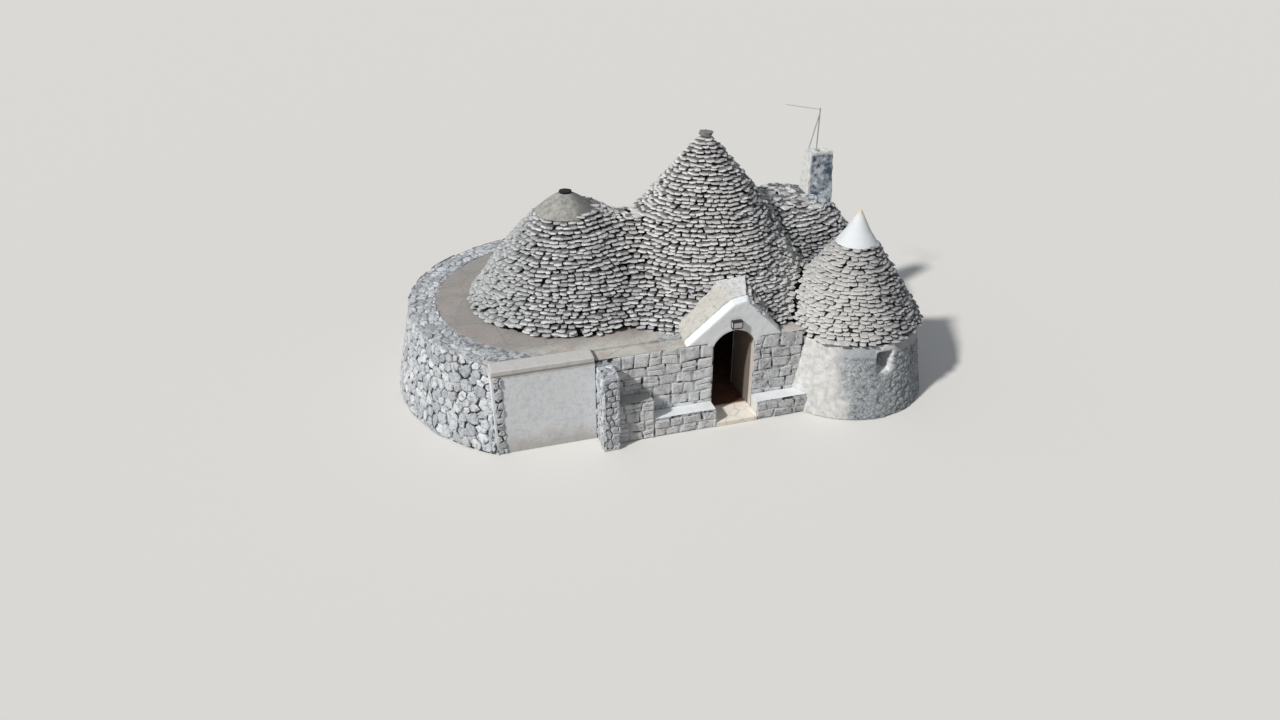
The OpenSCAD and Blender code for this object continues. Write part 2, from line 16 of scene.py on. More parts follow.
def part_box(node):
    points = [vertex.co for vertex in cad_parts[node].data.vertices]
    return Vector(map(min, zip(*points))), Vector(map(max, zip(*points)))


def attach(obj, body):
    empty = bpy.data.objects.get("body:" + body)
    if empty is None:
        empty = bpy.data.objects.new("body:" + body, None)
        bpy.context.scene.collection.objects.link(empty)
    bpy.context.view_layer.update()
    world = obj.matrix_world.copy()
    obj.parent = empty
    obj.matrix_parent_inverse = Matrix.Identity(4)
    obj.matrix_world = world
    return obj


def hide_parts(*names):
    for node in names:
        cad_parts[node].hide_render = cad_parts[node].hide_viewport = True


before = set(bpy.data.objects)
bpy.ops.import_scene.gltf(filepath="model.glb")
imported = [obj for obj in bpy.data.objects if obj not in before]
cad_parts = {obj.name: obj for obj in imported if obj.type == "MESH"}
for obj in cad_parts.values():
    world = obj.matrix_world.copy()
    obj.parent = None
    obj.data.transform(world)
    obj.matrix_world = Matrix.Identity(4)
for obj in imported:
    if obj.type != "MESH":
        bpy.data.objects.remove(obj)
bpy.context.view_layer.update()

# %% [markdown]
# ## The driving sizes
# The stones have to follow the house, so its sizes come first, in metres. What can be read from a solid's
# box, such as the height of a wall, is read from it. The rest repeats the construction's own values: each
# cone's axis, foot and apex, the saddles between them, and the planes of the little roof over the door,
# given at its front and its back from one eave over the bend and the ridge to the other eave.

# %% Sizes of the house
WALL_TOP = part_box("main_roof")[0].z
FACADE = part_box("gable_wall")[0].y
LEFT_AXIS = (-3.22, 0.24)
TOWER_AXIS = (2.77, -2.31)
DRUM_AXIS = (-3.15, 0.35)
HEARTH_AXIS = (2.47, 0.81)
MAIN_CONE = dict(axis=(0, 0), foot=2.95, foot_z=1.9, apex_z=5.6, fullness=0.87)
LEFT_CONE = dict(axis=LEFT_AXIS, foot=2.34, foot_z=2.03, apex_z=4.47, fullness=0.7)
HEARTH_CONE = dict(axis=HEARTH_AXIS, foot=2.11, foot_z=1.9, apex_z=3.68, fullness=0.33)
TOWER_CONE = dict(axis=TOWER_AXIS, foot=1.69, foot_z=1.72, apex_z=4.0, fullness=0.82)
LEFT_SADDLE = dict(axis=LEFT_AXIS, top=3.68, half_top=0.38, half_foot=1.85)
HEARTH_SADDLE = dict(axis=HEARTH_AXIS, top=3.52, half_top=0.45, half_foot=1.95)
SEAM_DISTANCE = 2.014
DRUM_RADII = (4.25, 3.8)
MAIN_RADIUS = 3.1
HEARTH_RADIUS = 2.15
GABLE_RUN = 1.0
GABLE_X = ((-1.44, -0.39, -0.10, 0.76), (-1.44, -0.49, 0.25, 0.76))
GABLE_Z = ((1.9, 2.76, 2.82, 1.9), (2.3, 3.0, 3.06, 2.3))
COURSE = 0.075
print(f"walls {WALL_TOP:.2f} m high, front face at y {FACADE:.2f}, courses of {COURSE * 1000:.0f} mm")


# %% [markdown]
# ## Writing node trees as arithmetic
# A node tree is easier to read as an expression than as a web of wires. `Wire` wraps one socket, and its
# operators add the Math nodes. `Nodes` adds any other node from its type, its settings and its inputs.
# The same two classes serve the stones' geometry and the finishes.

# %% A wire and a tree
class Wire:
    """One output socket. Arithmetic on it adds Math nodes to its tree."""

    def __init__(self, nodes, socket):
        self.nodes, self.socket = nodes, socket

    def __getitem__(self, output):
        return Wire(self.nodes, self.socket.node.outputs[output])

    def _math(self, operation, *values):
        return self.nodes.add("ShaderNodeMath", {"operation": operation}, dict(enumerate(values)))

    def __add__(self, other):
        return self._math("ADD", self, other)

    def __sub__(self, other):
        return self._math("SUBTRACT", self, other)

    def __rsub__(self, other):
        return self._math("SUBTRACT", other, self)

    def __mul__(self, other):
        return self._math("MULTIPLY", self, other)

    def __pow__(self, other):
        return self._math("POWER", self, other)

    __radd__, __rmul__ = __add__, __mul__

    def above(self, edge, softness):
        """0 below the edge and 1 above it, with a soft step between."""
        return self.nodes.add(
            "ShaderNodeMapRange", {"interpolation_type": "SMOOTHSTEP"},
            {"Value": self, "From Min": edge - softness, "From Max": edge + softness})


class Nodes:
    """A node tree that is filled by calls."""

    def __init__(self, tree):
        self.tree = tree

    def add(self, kind, settings=None, inputs=None, output=0):
        """One node with its settings. An input takes a wire or a plain value. The answer is an output."""
        node = self.tree.nodes.new(kind)
        for name, value in (settings or {}).items():
            setattr(node, name, value)
        for name, value in (inputs or {}).items():
            if isinstance(value, Wire):
                self.tree.links.new(value.socket, node.inputs[name])
            else:
                node.inputs[name].default_value = value
        return Wire(self, node.outputs[output])

    def mix(self, factor, below, above):
        """A colour that goes from below to above as factor goes from 0 to 1."""
        return self.add("ShaderNodeMix", {"data_type": "RGBA"}, {0: factor, 6: below, 7: above}, output=2)


# %% [markdown]
# ## Coats of paint
# A finish here is built as a painter builds one: a ground of two colours, then coat over coat, each laid
# where its own mask says, such as lichen in patches or wash near the ground. Masks are noises cut at an
# edge, or distances from a place on the house. Colours were read from the photograph, so they are written
# as it shows them, from 0 to 255, and turned into the linear light that the renderer works in.

# %% A finish in coats
def paint(red, green, blue):
    """A colour as a screen shows it, in linear light."""
    return tuple((c / 255) ** 2.2 for c in (red, green, blue)) + (1.0,)


class Finish(Nodes):
    """A material whose pattern is worked out in the house's own coordinates."""

    def __init__(self, name, **surface):
        self.material = bpy.data.materials.new(name)
        self.material.use_nodes = True
        super().__init__(self.material.node_tree)
        self.surface = self.tree.nodes["Principled BSDF"]
        for socket, value in {"Roughness": 0.92, "Specular IOR Level": 0.25, **surface}.items():
            self.surface.inputs[socket].default_value = value
        self.place = self.add("ShaderNodeTexCoord", output="Object")
        axes = self.add("ShaderNodeSeparateXYZ", inputs={0: self.place})
        self.x, self.y, self.z = axes["X"], axes["Y"], axes["Z"]

    def stretched(self, x, y, z):
        """The place on the house, scaled apart in each direction, so that a noise on it is drawn out."""
        return self.add("ShaderNodeMapping", inputs={"Vector": self.place, "Scale": (x, y, z)})

    def noise(self, scale, detail=4.0, roughness=0.6, place=None):
        """Cloudy values round 0.5, in clouds of about one metre divided by the scale."""
        return self.add("ShaderNodeTexNoise", inputs={
            "Vector": place or self.place, "Scale": scale, "Detail": detail, "Roughness": roughness})

    def cells(self, scale, feature="F1", place=None):
        """Cells of uneven shape, or the distance from their edges."""
        return self.add("ShaderNodeTexVoronoi", {"feature": feature},
                        {"Vector": place or self.place, "Scale": scale})

    def stored(self, name):
        """A number that the stones were given when they were laid, such as the chance value called tint."""
        return self.add("ShaderNodeAttribute", {"attribute_name": name}, output="Fac")

    def near(self, axis, low, high):
        """0 to 1 as the distance from an upright axis goes from low to high."""
        dx, dy = self.x - axis[0], self.y - axis[1]
        return self.add("ShaderNodeMapRange", {}, {
            "Value": (dx * dx + dy * dy) ** 0.5, "From Min": low, "From Max": high})

    def ground(self, share, dark, light):
        """The first coat, from dark to light as share goes from 0 to 1."""
        self.base = self.mix(share, paint(*dark), paint(*light))

    def coat(self, share, colour):
        """One more coat, which covers those below where share is 1."""
        self.base = self.mix(share, self.base, colour if isinstance(colour, Wire) else paint(*colour))

    def done(self, grain=None, depth=0.0):
        """The material, with its coats as colour and its grain as relief of a depth in metres."""
        self.tree.links.new(self.base.socket, self.surface.inputs["Base Color"])
        if grain:
            relief = self.add("ShaderNodeBump", inputs={"Height": grain, "Distance": depth})
            self.tree.links.new(relief.socket, self.surface.inputs["Normal"])
        print(f"finish: {self.material.name}, {len(self.tree.nodes)} nodes")
        return self.material


# %% [markdown]
# ## Bare limestone of the roofs
# The slabs weather to a warm grey, and lichen darkens them in patches. The main cone's right flank and the
# tower's right side are darkened as painted shade, and the main cone's left side is lightened as painted
# sunlight. Lime has washed down over the left cone, the tower and the foot of the chimney, and on the tower's
# sunlit side the wash is made brighter still as painted light. What a slab keeps under the one above it is
# painted dark as shade. The slabs carry that depth as a stored number, so the painted shade stays with the
# slab however it is turned.

# %% Roof stone
def roof_stone():
    f = Finish("roof limestone")

    def frayed(along, scale):
        """A direction across the house, with a ragged edge wherever it is cut."""
        return along + f.noise(scale, 3.0) * 0.9 - 0.45

    f.ground(f.stored("tint"), (160, 160, 163), (240, 240, 239))
    lichen = f.noise(7.0, 5.0, 0.7).above(0.57, 0.1) * 0.45
    f.coat(lichen, (100, 101, 108))
    pale = f.noise(2.2, 3.0).above(0.5, 0.12) * 0.35
    f.coat(pale, (218, 217, 215))
    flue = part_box("chimney")[0]
    from_flue = f.near((flue.x + 0.3, flue.y), 0.0, 1.0) + f.noise(6.0, 4.0, 0.7) * 0.3
    f.coat((1.0 - from_flue.above(0.52, 0.1)) * 0.65, (198, 206, 214))
    washed_left = frayed(f.x * -0.9 + f.y * 0.35, 1.3).above(3.75, 0.45) * 0.75
    f.coat(washed_left, (190, 193, 194))
    on_tower = 1.0 - f.near(TOWER_AXIS, 1.62, 1.85)
    # lime on the tower's roof towards the front left, made brighter than the wash alone as painted light on
    # the sunlit side
    washed_and_sunlit_tower = frayed(f.x * -1.0 + f.y * -0.35, 1.6).above(-1.75, 0.35) * on_tower
    f.coat(washed_and_sunlit_tower * 0.85, (216, 215, 212))
    # painted shade on the sides away from the sun: the main cone's right flank, away from the hearth's lobe,
    # and the tower's right side
    eastward = frayed(f.x + f.y * 0.25, 1.6)
    shaded_main_flank = eastward.above(0.9, 0.7) * (1.0 - on_tower) * f.near(HEARTH_AXIS, 1.5, 2.2)
    f.coat(eastward.above(1.7, 0.9) * on_tower * 0.4 + shaded_main_flank * 0.6, (90, 91, 99))
    # painted sunlight: the main cone's left side is lightened
    sunlit_main_side = (1.0 - eastward.above(0.1, 0.6)) * (1.0 - f.near((0, 0), 2.0, 2.6))
    f.coat(sunlit_main_side * 0.42, (233, 228, 224))
    # painted shade under each course, from the depth that each slab stores behind its face; less of it where
    # lime lies
    uneven = f.noise(9.0, 5.0, 0.7) * 0.2 + f.stored("tint") * 0.1
    shade = (f.stored("sheltered") + uneven).above(0.4, 0.09)
    f.coat(shade * (0.74 - (washed_left * 0.5 + washed_and_sunlit_tower * 0.62)), (44, 44, 50))
    return f.done(f.noise(34.0, 6.0, 0.7), 0.012)


ROOF = roof_stone()

# %% [markdown]
# ## Gaps, joints and mortar
# Between loose slabs one looks into the cores behind them, painted near black as the shade where no light
# gets in. The joints of the walls are older than their last coat: some are filled with wash, some have lost
# it. One noise with a sharp edge gives both, and the edge sets how much is bare. The mortar on top of the low
# walls is rough and pale.

# %% What lies behind the stones
def gap_shadow():
    f = Finish("gaps between stones", Roughness=1.0)
    f.ground(f.noise(9.0), (28, 28, 32), (56, 55, 58))
    return f.done(f.noise(40.0), 0.01)


def deep_mortar(name, bare):
    """Joints partly filled with old wash and partly in shadow. The share in shadow grows with bare."""
    f = Finish(name, Roughness=1.0)
    f.ground(f.noise(6.0, 5.0, 0.7).above(bare, 0.06), (48, 49, 54), (196, 201, 206))
    return f.done(f.noise(40.0), 0.012)


def lime_mortar():
    f = Finish("lime mortar")
    f.ground(f.noise(14.0, 5.0, 0.7), (150, 152, 150), (206, 206, 200))
    return f.done(f.noise(60.0, 5.0, 0.7), 0.008)


GAPS, MORTAR = gap_shadow(), lime_mortar()
JOINTS, WASHED_JOINTS = deep_mortar("rubble joints", 0.5), deep_mortar("washed joints", 0.47)

# %% [markdown]
# ## Limewashed rubble
# The drum and the back are whitewashed over the stones. The wash wears off the high points, and rain draws
# it out into streaks. A noise that is stretched upwards gives the streaks. The stones' own tints show
# through, because no two of them take the wash alike.

# %% Limewash on rubble
def limewashed_stone():
    f = Finish("limewashed rubble")
    f.ground(f.stored("tint"), (176, 181, 187), (228, 232, 236))
    worn = f.noise(11.0, 5.0, 0.7).above(0.54, 0.07) * 0.75
    f.coat(worn, (142, 143, 144))
    drips = f.noise(3.0, 4.0, 0.6, f.stretched(2.6, 2.6, 0.5)).above(0.6, 0.1) * 0.35
    f.coat(drips, (160, 158, 150))
    return f.done(f.noise(26.0, 6.0, 0.65), 0.014)


LIMED = limewashed_stone()

# %% [markdown]
# ## Hewn blocks of the courtyard side
# These blocks were dressed with a pick, so their faces are full of hollows and small pits that hold dirt,
# under rests of whitewash. Hollows and pits are two noises of different size. The relief is the deepest of
# all the finishes, because a picked face catches the low sun. Left of the door the blocks are lightened as
# painted light against the shade of the step and the pier. To the right of the door they are darker.

# %% Hewn stone
def hewn_stone():
    f = Finish("hewn blocks")
    f.ground(f.stored("tint"), (194, 196, 198), (242, 243, 243))
    hollows = f.noise(7.5, 6.0, 0.75).above(0.54, 0.05) * 0.6
    f.coat(hollows, (122, 123, 126))
    pits = f.noise(24.0, 6.0, 0.75).above(0.55, 0.06) * 0.7
    f.coat(pits, (92, 93, 97))
    wash = f.noise(4.5, 4.0, 0.6).above(0.5, 0.08) * 0.65
    f.coat(wash, (246, 247, 247))
    # painted light left of the door, against the shade of the step and the pier; to the right of the door the
    # blocks are darker
    right_of_door = f.x.above(-0.45, 0.2)
    f.coat((1.0 - right_of_door) * 0.28, (246, 246, 246))
    f.coat(right_of_door * 0.18, (118, 119, 122))
    return f.done(f.noise(22.0, 7.0, 0.75), 0.035)


HEWN = hewn_stone()

# %% [markdown]
# ## Plaster
# The gable, the seats and the long panel are plastered smooth. Round the door the white is lightened as
# painted light, since the gable's front stands in shade. Away from the door it is dusty on the coping, and it
# is splashed with earth near the ground. The little roof's back is cream, stained by the stones above it, and
# fresher towards its ridge. Heights and places on the house are the masks here, with a noise added so that no
# edge runs straight.

# %% White and cream plaster
def white_plaster():
    f = Finish("whitewashed plaster", Roughness=0.8)
    clouds = f.noise(7.0, 6.0, 0.7)
    f.ground(clouds.above(0.5, 0.2), (216, 220, 226), (244, 246, 248))
    f.coat(clouds.above(0.6, 0.07) * 0.4, (186, 184, 178))
    # painted light: the white is lightened round the door, where the gable's front stands in shade, and dust
    # is kept off there
    painted_light_by_door = f.x.above(-2.0, 0.3) * 0.7
    f.coat(painted_light_by_door, (242, 246, 248))
    dusty = (f.z + f.noise(9.0, 5.0, 0.7) * 0.1).above(1.86, 0.03) * (1.0 - painted_light_by_door * 1.4) * 0.62
    f.coat(dusty, (186, 180, 172))
    splashed = (1.0 - (f.z + f.noise(2.4, 5.0, 0.7) * 0.9).above(0.75, 0.25)) * 0.45
    f.coat(splashed, (158, 148, 132))
    return f.done(f.noise(12.0, 7.0, 0.6), 0.008)


def cream_plaster():
    f = Finish("cream plaster")
    f.ground(f.noise(3.5, 5.0), (184, 181, 173), (214, 212, 206))
    fresh = (f.x + f.z + f.noise(4.0, 4.0) * 0.6).above(2.8, 0.3) * 0.8
    f.coat(fresh, (228, 231, 233))
    stain = f.noise(11.0, 6.0, 0.7).above(0.58, 0.08) * 0.5
    f.coat(stain, (140, 137, 132))
    return f.done(f.noise(16.0, 7.0, 0.65), 0.014)


PLASTER, CREAM = white_plaster(), cream_plaster()

# %% [markdown]
# ## Wash on the tower and the chimney
# The tower's wash is smooth and bright towards the door, and worn down to the stones towards the window.
# The window's reveal has kept it, and a band under the eave is a smooth grey, partly wash and partly the
# eave's shadow painted in. On the chimney the wash holds along the edges. Its white left side is partly
# painted sunlight, and the blue-grey between the edges is partly blackened wash and partly painted shade.
# Both finishes are a bright coat over a rough one, with the mask taken from where the bright coat lies.

# %% Tower and chimney wash
def tower_wash():
    f = Finish("tower wash")
    f.ground(f.noise(19.0, 6.0, 0.75).above(0.5, 0.2), (120, 126, 133), (208, 212, 214))
    pits = f.noise(9.0, 6.0, 0.8).above(0.54, 0.06) * 0.7
    f.coat(pits, (84, 89, 97))
    # a smooth grey band under the eave, partly kept wash and partly the eave's shadow as painted shade
    band = (f.z + f.noise(5.0) * 0.1).above(1.5, 0.04) * 0.8
    f.coat(band, (186, 190, 195))
    fresh = 1.0 - (f.x + f.noise(3.0, 4.0) * 0.7 + f.z * 0.12).above(2.42, 0.22)
    f.coat(fresh, f.mix(f.noise(8.0, 6.0, 0.7).above(0.5, 0.2), paint(190, 190, 188), paint(226, 226, 224)))
    aside = f.x - TOWER_AXIS[0] - 0.107
    beside_window = (1.0 - (aside * aside).above(0.06, 0.01)) * (1.0 - f.y.above(-3.2, 0.05))
    f.coat(beside_window * (1.0 - f.near(TOWER_AXIS, 1.56, 1.64)) * 0.9, (236, 238, 240))
    return f.done(f.noise(30.0, 6.0, 0.7) * (1.0 - fresh * 0.8), 0.02)


def chimney_wash():
    f = Finish("chimney wash")
    low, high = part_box("chimney")
    f.ground(f.noise(5.0, 6.0, 0.75).above(0.53, 0.1), (78, 92, 110), (226, 234, 240))
    pits = f.noise(20.0, 6.0, 0.75).above(0.55, 0.06) * 0.6
    f.coat(pits, (84, 94, 108))
    ragged = f.noise(9.0, 5.0, 0.7) * 0.09 - 0.045
    # white on the left side and along the edges, the left partly painted sunlight; the blue-grey between is
    # partly blackened wash and partly painted shade
    worn = (f.x + ragged).above(low.x + 0.13, 0.03)
    for across, edge in ((f.x, high.x - 0.06), (f.z, high.z - 0.09)):
        worn = worn * (1.0 - (across + ragged).above(edge, 0.03))
    f.coat(1.0 - worn, f.mix(f.noise(6.0), paint(214, 215, 212), paint(232, 233, 232)))
    return f.done(f.noise(24.0, 6.0, 0.7), 0.02)


WASH, STACK = tower_wash(), chimney_wash()

# %% [markdown]
# ## Caps
# The tower's cone is a smooth white cap with a yellowed tip. The left cone is closed with cement, which is
# painted darker on its right side as shade, and has lichen in patches.

# %% Cap plaster and cement
def cap_plaster():
    f = Finish("tower cap plaster", Roughness=0.75)
    f.ground(f.noise(4.0, 4.0), (216, 221, 225), (230, 233, 236))
    f.coat(f.z.above(4.17, 0.05) * 0.8, (222, 206, 172))
    return f.done(f.noise(18.0, 6.0), 0.005)


def cement():
    f = Finish("cement cap")
    f.ground(f.noise(8.0, 6.0, 0.7).above(0.5, 0.2), (136, 136, 132), (182, 180, 174))
    # painted shade on the cement cap's right side
    painted_shade_right = (f.x + f.noise(2.5, 4.0) * 0.5).above(-2.85, 0.15) * 0.6
    f.coat(painted_shade_right, (104, 107, 108))
    lichen = f.noise(13.0, 6.0, 0.7).above(0.6, 0.07) * 0.5
    f.coat(lichen, (96, 98, 92))
    return f.done(f.noise(30.0, 6.0, 0.7), 0.008)


CAP, CEMENT = cap_plaster(), cement()

# %% [markdown]
# ## Screed, floors and rooms
# The terrace is trowelled screed: sandy, pinkish where it is thin, trodden pale along the courtyard and
# cracked. The cracks are the edges of large cells, shaken by a noise so that they wander. Indoors the floor
# is worn brown slabs. Out of doors the same slabs are painted pale as sunlight, with fainter joints. Rooms
# are washed, and the doorway's reveal is painted brown as the shade inside the door.

# %% Terrace screed
def screed():
    f = Finish("terrace screed")
    f.ground(f.noise(1.4, 5.0, 0.6), (146, 142, 139), (182, 178, 174))
    trodden = (1.0 - (f.y + f.noise(1.8, 4.0) * 0.7).above(-1.95, 0.3)) * 0.85
    f.coat(trodden, (210, 208, 200))
    pink = f.noise(1.1, 4.0, 0.6, f.stretched(1.0, 1.5, 1.0)).above(0.56, 0.08) * 0.45
    f.coat(pink, (184, 164, 156))
    grey = f.noise(2.3, 5.0, 0.7).above(0.57, 0.08) * 0.4
    f.coat(grey, (150, 146, 144))
    shaken = f.add("ShaderNodeMix", {"data_type": "VECTOR"},
                   {0: 0.12, 4: f.place, 5: f.noise(3.0, 5.0, 0.7)["Color"]}, output=1)
    cracks = 1.0 - f.cells(0.9, "DISTANCE_TO_EDGE", shaken).above(0.008, 0.008)
    f.coat(cracks * 0.3, (118, 112, 106))
    rough = f.noise(26.0, 5.0, 0.7).above(0.58, 0.05) * 0.35
    f.coat(rough, (122, 119, 116))
    rim = f.near(DRUM_AXIS, 3.12, 3.2) * (1.0 - f.x.above(-1.2, 0.3)) * f.y.above(-2.65, 0.1)
    between_stones = f.noise(8.0, 5.0, 0.7).above(0.5, 0.07)
    f.coat(rim * 0.85, f.mix(between_stones, paint(120, 124, 130), paint(198, 202, 206)))
    return f.done(f.noise(22.0, 7.0, 0.7), 0.012)


# %% Floors and rooms
def floor_stone():
    f = Finish("worn floor", Roughness=0.7)
    f.ground(f.cells(2.6)["Color"], (92, 62, 50), (112, 80, 66))
    joints = 1.0 - f.cells(2.6, "DISTANCE_TO_EDGE").above(0.03, 0.015)
    out_of_doors = 1.0 - f.y.above(-2.75, 0.05)
    # painted sunlight: out of doors the slabs are painted pale, with fainter joints
    f.coat(out_of_doors * 0.95, (252, 245, 232))
    f.coat(joints * (0.5 - out_of_doors * 0.3), (70, 52, 44))
    return f.done(f.noise(20.0, 5.0), 0.004)


def room_plaster():
    f = Finish("room wash")
    f.ground(f.noise(3.0, 4.0), (196, 188, 180), (220, 214, 206))
    # painted shade: the doorway's reveal is painted brown where the inside of the door is dark
    painted_doorway_shade = f.y.above(-2.87, 0.02) * (1.0 - f.y.above(-1.9, 0.02))
    f.coat(painted_doorway_shade * (1.0 - f.z.above(1.87, 0.01)) * 0.9, (108, 94, 84))
    return f.done(f.noise(9.0, 6.0), 0.01)


SCREED, FLOOR, ROOM = screed(), floor_stone(), room_plaster()

# %% [markdown]
# ## Aerial and lantern
# Small parts need only a faint mottle and the right gloss: a dull tube, a dark iron frame and frosted glass.

# %% Metal and glass
def mottled(name, scale, dark, light, **surface):
    """A plain finish with a faint mottle."""
    f = Finish(name, **surface)
    f.ground(f.noise(scale), dark, light)
    return f.done()


AERIAL = mottled("dull aerial tube", 20.0, (170, 172, 174), (200, 200, 200), Roughness=0.5, Metallic=0.7)
LANTERN = mottled("lantern frame", 40.0, (38, 36, 34), (58, 54, 50), Roughness=0.5)
GLASS = mottled("frosted lantern glass", 14.0, (176, 180, 182), (206, 208, 208),
                **{"Roughness": 0.35, "Specular IOR Level": 0.5})


# %% [markdown]
# ## Handling meshes
# Every new piece is a plain mesh in the house's own coordinates. It rides on the house's one body, and it
# may stand for one or more of the solids. Where stones stand in front of a solid, the solid itself is kept
# behind them as a core: a copy whose outer skin is moved in. So nothing is hollow where a joint gapes.

# %% Pieces
def piece(name, mesh, stands_for=()):
    """A finished mesh as a piece of the house."""
    mesh.name = name
    shown = bpy.data.objects.new(name, mesh)
    bpy.context.scene.collection.objects.link(shown)
    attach(shown, "root")
    if stands_for:
        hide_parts(*stands_for)
    print(f"{name}: {sum(len(p.vertices) - 2 for p in mesh.polygons)} triangles")


def painted(mesh, *finishes):
    """The same mesh with these finishes and no others."""
    mesh.materials.clear()
    for finish in finishes:
        mesh.materials.append(finish)
    return mesh


def joined(name, meshes):
    """Several meshes as one, with their materials and their tints kept."""
    parts = []
    for mesh in meshes:
        part = bpy.data.objects.new(name, mesh)
        bpy.context.scene.collection.objects.link(part)
        parts.append(part)
    with bpy.context.temp_override(active_object=parts[0], selected_editable_objects=parts):
        bpy.ops.object.join()
    mesh = parts[0].data
    bpy.data.objects.remove(parts[0])
    return mesh


# %% Copies of solids
WELD = 0.0002
UPWARD, INDOOR_FLOOR = 0.9, 0.3


def welded(nodes):
    """The solids' own meshes, each welded along its edges, together in one mesh."""
    together = bmesh.new()
    for node in nodes:
        solid = bmesh.new()
        solid.from_mesh(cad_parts[node].data)
        bmesh.ops.remove_doubles(solid, verts=solid.verts, dist=WELD)
        bmesh.ops.dissolve_degenerate(solid, edges=solid.edges, dist=WELD)
        copy = bpy.data.meshes.new("welded")
        solid.to_mesh(copy)
        together.from_mesh(copy)
        solid.free()
    mesh = bpy.data.meshes.new("welded")
    together.to_mesh(mesh)
    together.free()
    return mesh


def sunk(nodes, skins, behind, inner, top=None):
    """A copy of solids whose outer skin is moved in, to make room for stones in front of it."""
    mesh = painted(welded(nodes), inner, behind, top or inner)
    moved = np.zeros(len(mesh.vertices), bool)
    for vertex in mesh.vertices:
        for skin in skins:
            step = skin(vertex.co)
            if step is not None:
                vertex.co += step
                moved[vertex.index] = True
    for face in mesh.polygons:
        on_top = face.normal.z > UPWARD and face.center.z > INDOOR_FLOOR
        face.material_index = 2 if on_top else int(all(moved[v] for v in face.vertices))
    return mesh


# %% [markdown]
# ## Geometry Nodes for the stones
# The house has thousands of stones, laid by two rules. On the roofs, slabs follow level course lines. In the
# walls, stones fill a face with thin joints between them. Each rule is one node tree with named inputs, so
# that a wall or a roof only has to say its sizes, its seed and its finish.

# %% Helpers for geometry trees
SOCKETS = {float: "NodeSocketFloat", int: "NodeSocketInt", bpy.types.Material: "NodeSocketMaterial"}


class Growth(Nodes):
    """A Geometry Nodes tree with a geometry input and named inputs for its sizes."""

    def __init__(self, name, **inputs):
        super().__init__(bpy.data.node_groups.new(name, "GeometryNodeTree"))
        face = self.tree.interface
        face.new_socket("Geometry", in_out="INPUT", socket_type="NodeSocketGeometry")
        face.new_socket("Geometry", in_out="OUTPUT", socket_type="NodeSocketGeometry")
        for label, kind in inputs.items():
            face.new_socket(label.replace("_", " "), in_out="INPUT", socket_type=SOCKETS[kind])
        self.given = self.add("NodeGroupInput")

    def ask(self, label):
        """One of the tree's named inputs."""
        return self.given[label]

    def vector(self, x, y, z):
        """Three numbers as one vector."""
        return self.add("ShaderNodeCombineXYZ", inputs={0: x, 1: y, 2: z})

    def position(self):
        """Where each point is, as three numbers."""
        return self.add("ShaderNodeSeparateXYZ", inputs={0: self.add("GeometryNodeInputPosition")})

    def chance(self, low, high, offset):
        """A random number for each stone, from the tree's own seed."""
        return self.add("FunctionNodeRandomValue", {"data_type": "FLOAT"},
                        {2: low, 3: high, "Seed": self.ask("Seed") + offset}, output=1)

    def compare(self, operation, value, limit):
        """A value set against a limit, such as the smaller of the two, or whether it is less."""
        return self.add("ShaderNodeMath", {"operation": operation}, {0: value, 1: limit})

    def scaled(self, vector, amount):
        """A vector made longer or shorter."""
        return self.add("ShaderNodeVectorMath", {"operation": "SCALE"}, {0: vector, "Scale": amount})

    def move(self, geometry, offset):
        """The same geometry, with its points moved by an offset."""
        return self.add("GeometryNodeSetPosition", inputs={"Geometry": geometry, "Offset": offset})

    def store(self, geometry, domain, name, value):
        """Gives each point, face or stone a number, which a finish can read by its name."""
        return self.add("GeometryNodeStoreNamedAttribute", {"data_type": "FLOAT", "domain": domain},
                        {"Geometry": geometry, "Name": name, "Value": value})

    def roughened(self, geometry, amount, size):
        """Corners moved about by a noise, so that no two stones are alike."""
        wobble = self.add("ShaderNodeTexNoise", inputs={
            "Vector": self.add("GeometryNodeInputPosition"), "Scale": size, "Detail": 1.0}, output="Color")
        centred = self.add("ShaderNodeVectorMath", {"operation": "SUBTRACT"}, {0: wobble, 1: (0.5, 0.5, 0.5)})
        return self.move(geometry, self.scaled(centred, amount))

    def finish(self, geometry):
        """Instances made real, flat faces, the material, and the tree's output."""
        real = self.add("GeometryNodeRealizeInstances", inputs={"Geometry": geometry})
        flat = self.add("GeometryNodeSetShadeSmooth", inputs={"Geometry": real, "Shade Smooth": False})
        done = self.add("GeometryNodeSetMaterial", inputs={"Geometry": flat, "Material": self.ask("Finish")})
        out = self.tree.nodes.new("NodeGroupOutput")
        self.tree.links.new(done.socket, out.inputs["Geometry"])
        print(f"{self.tree.name}: {len(self.tree.nodes)} nodes")


def grow(mesh, growth, **values):
    """The mesh that a tree makes from a mesh, with its named inputs set."""
    carrier = bpy.data.objects.new("growing", mesh)
    bpy.context.scene.collection.objects.link(carrier)
    modifier = carrier.modifiers.new("Growth", "NODES")
    modifier.node_group = growth.tree
    for item in growth.tree.interface.items_tree:
        label = item.name.replace(" ", "_")
        if item.in_out == "INPUT" and label in values:
            modifier[item.identifier] = values[label]
    made = bpy.data.meshes.new_from_object(carrier.evaluated_get(bpy.context.evaluated_depsgraph_get()))
    bpy.data.objects.remove(carrier)
    return made
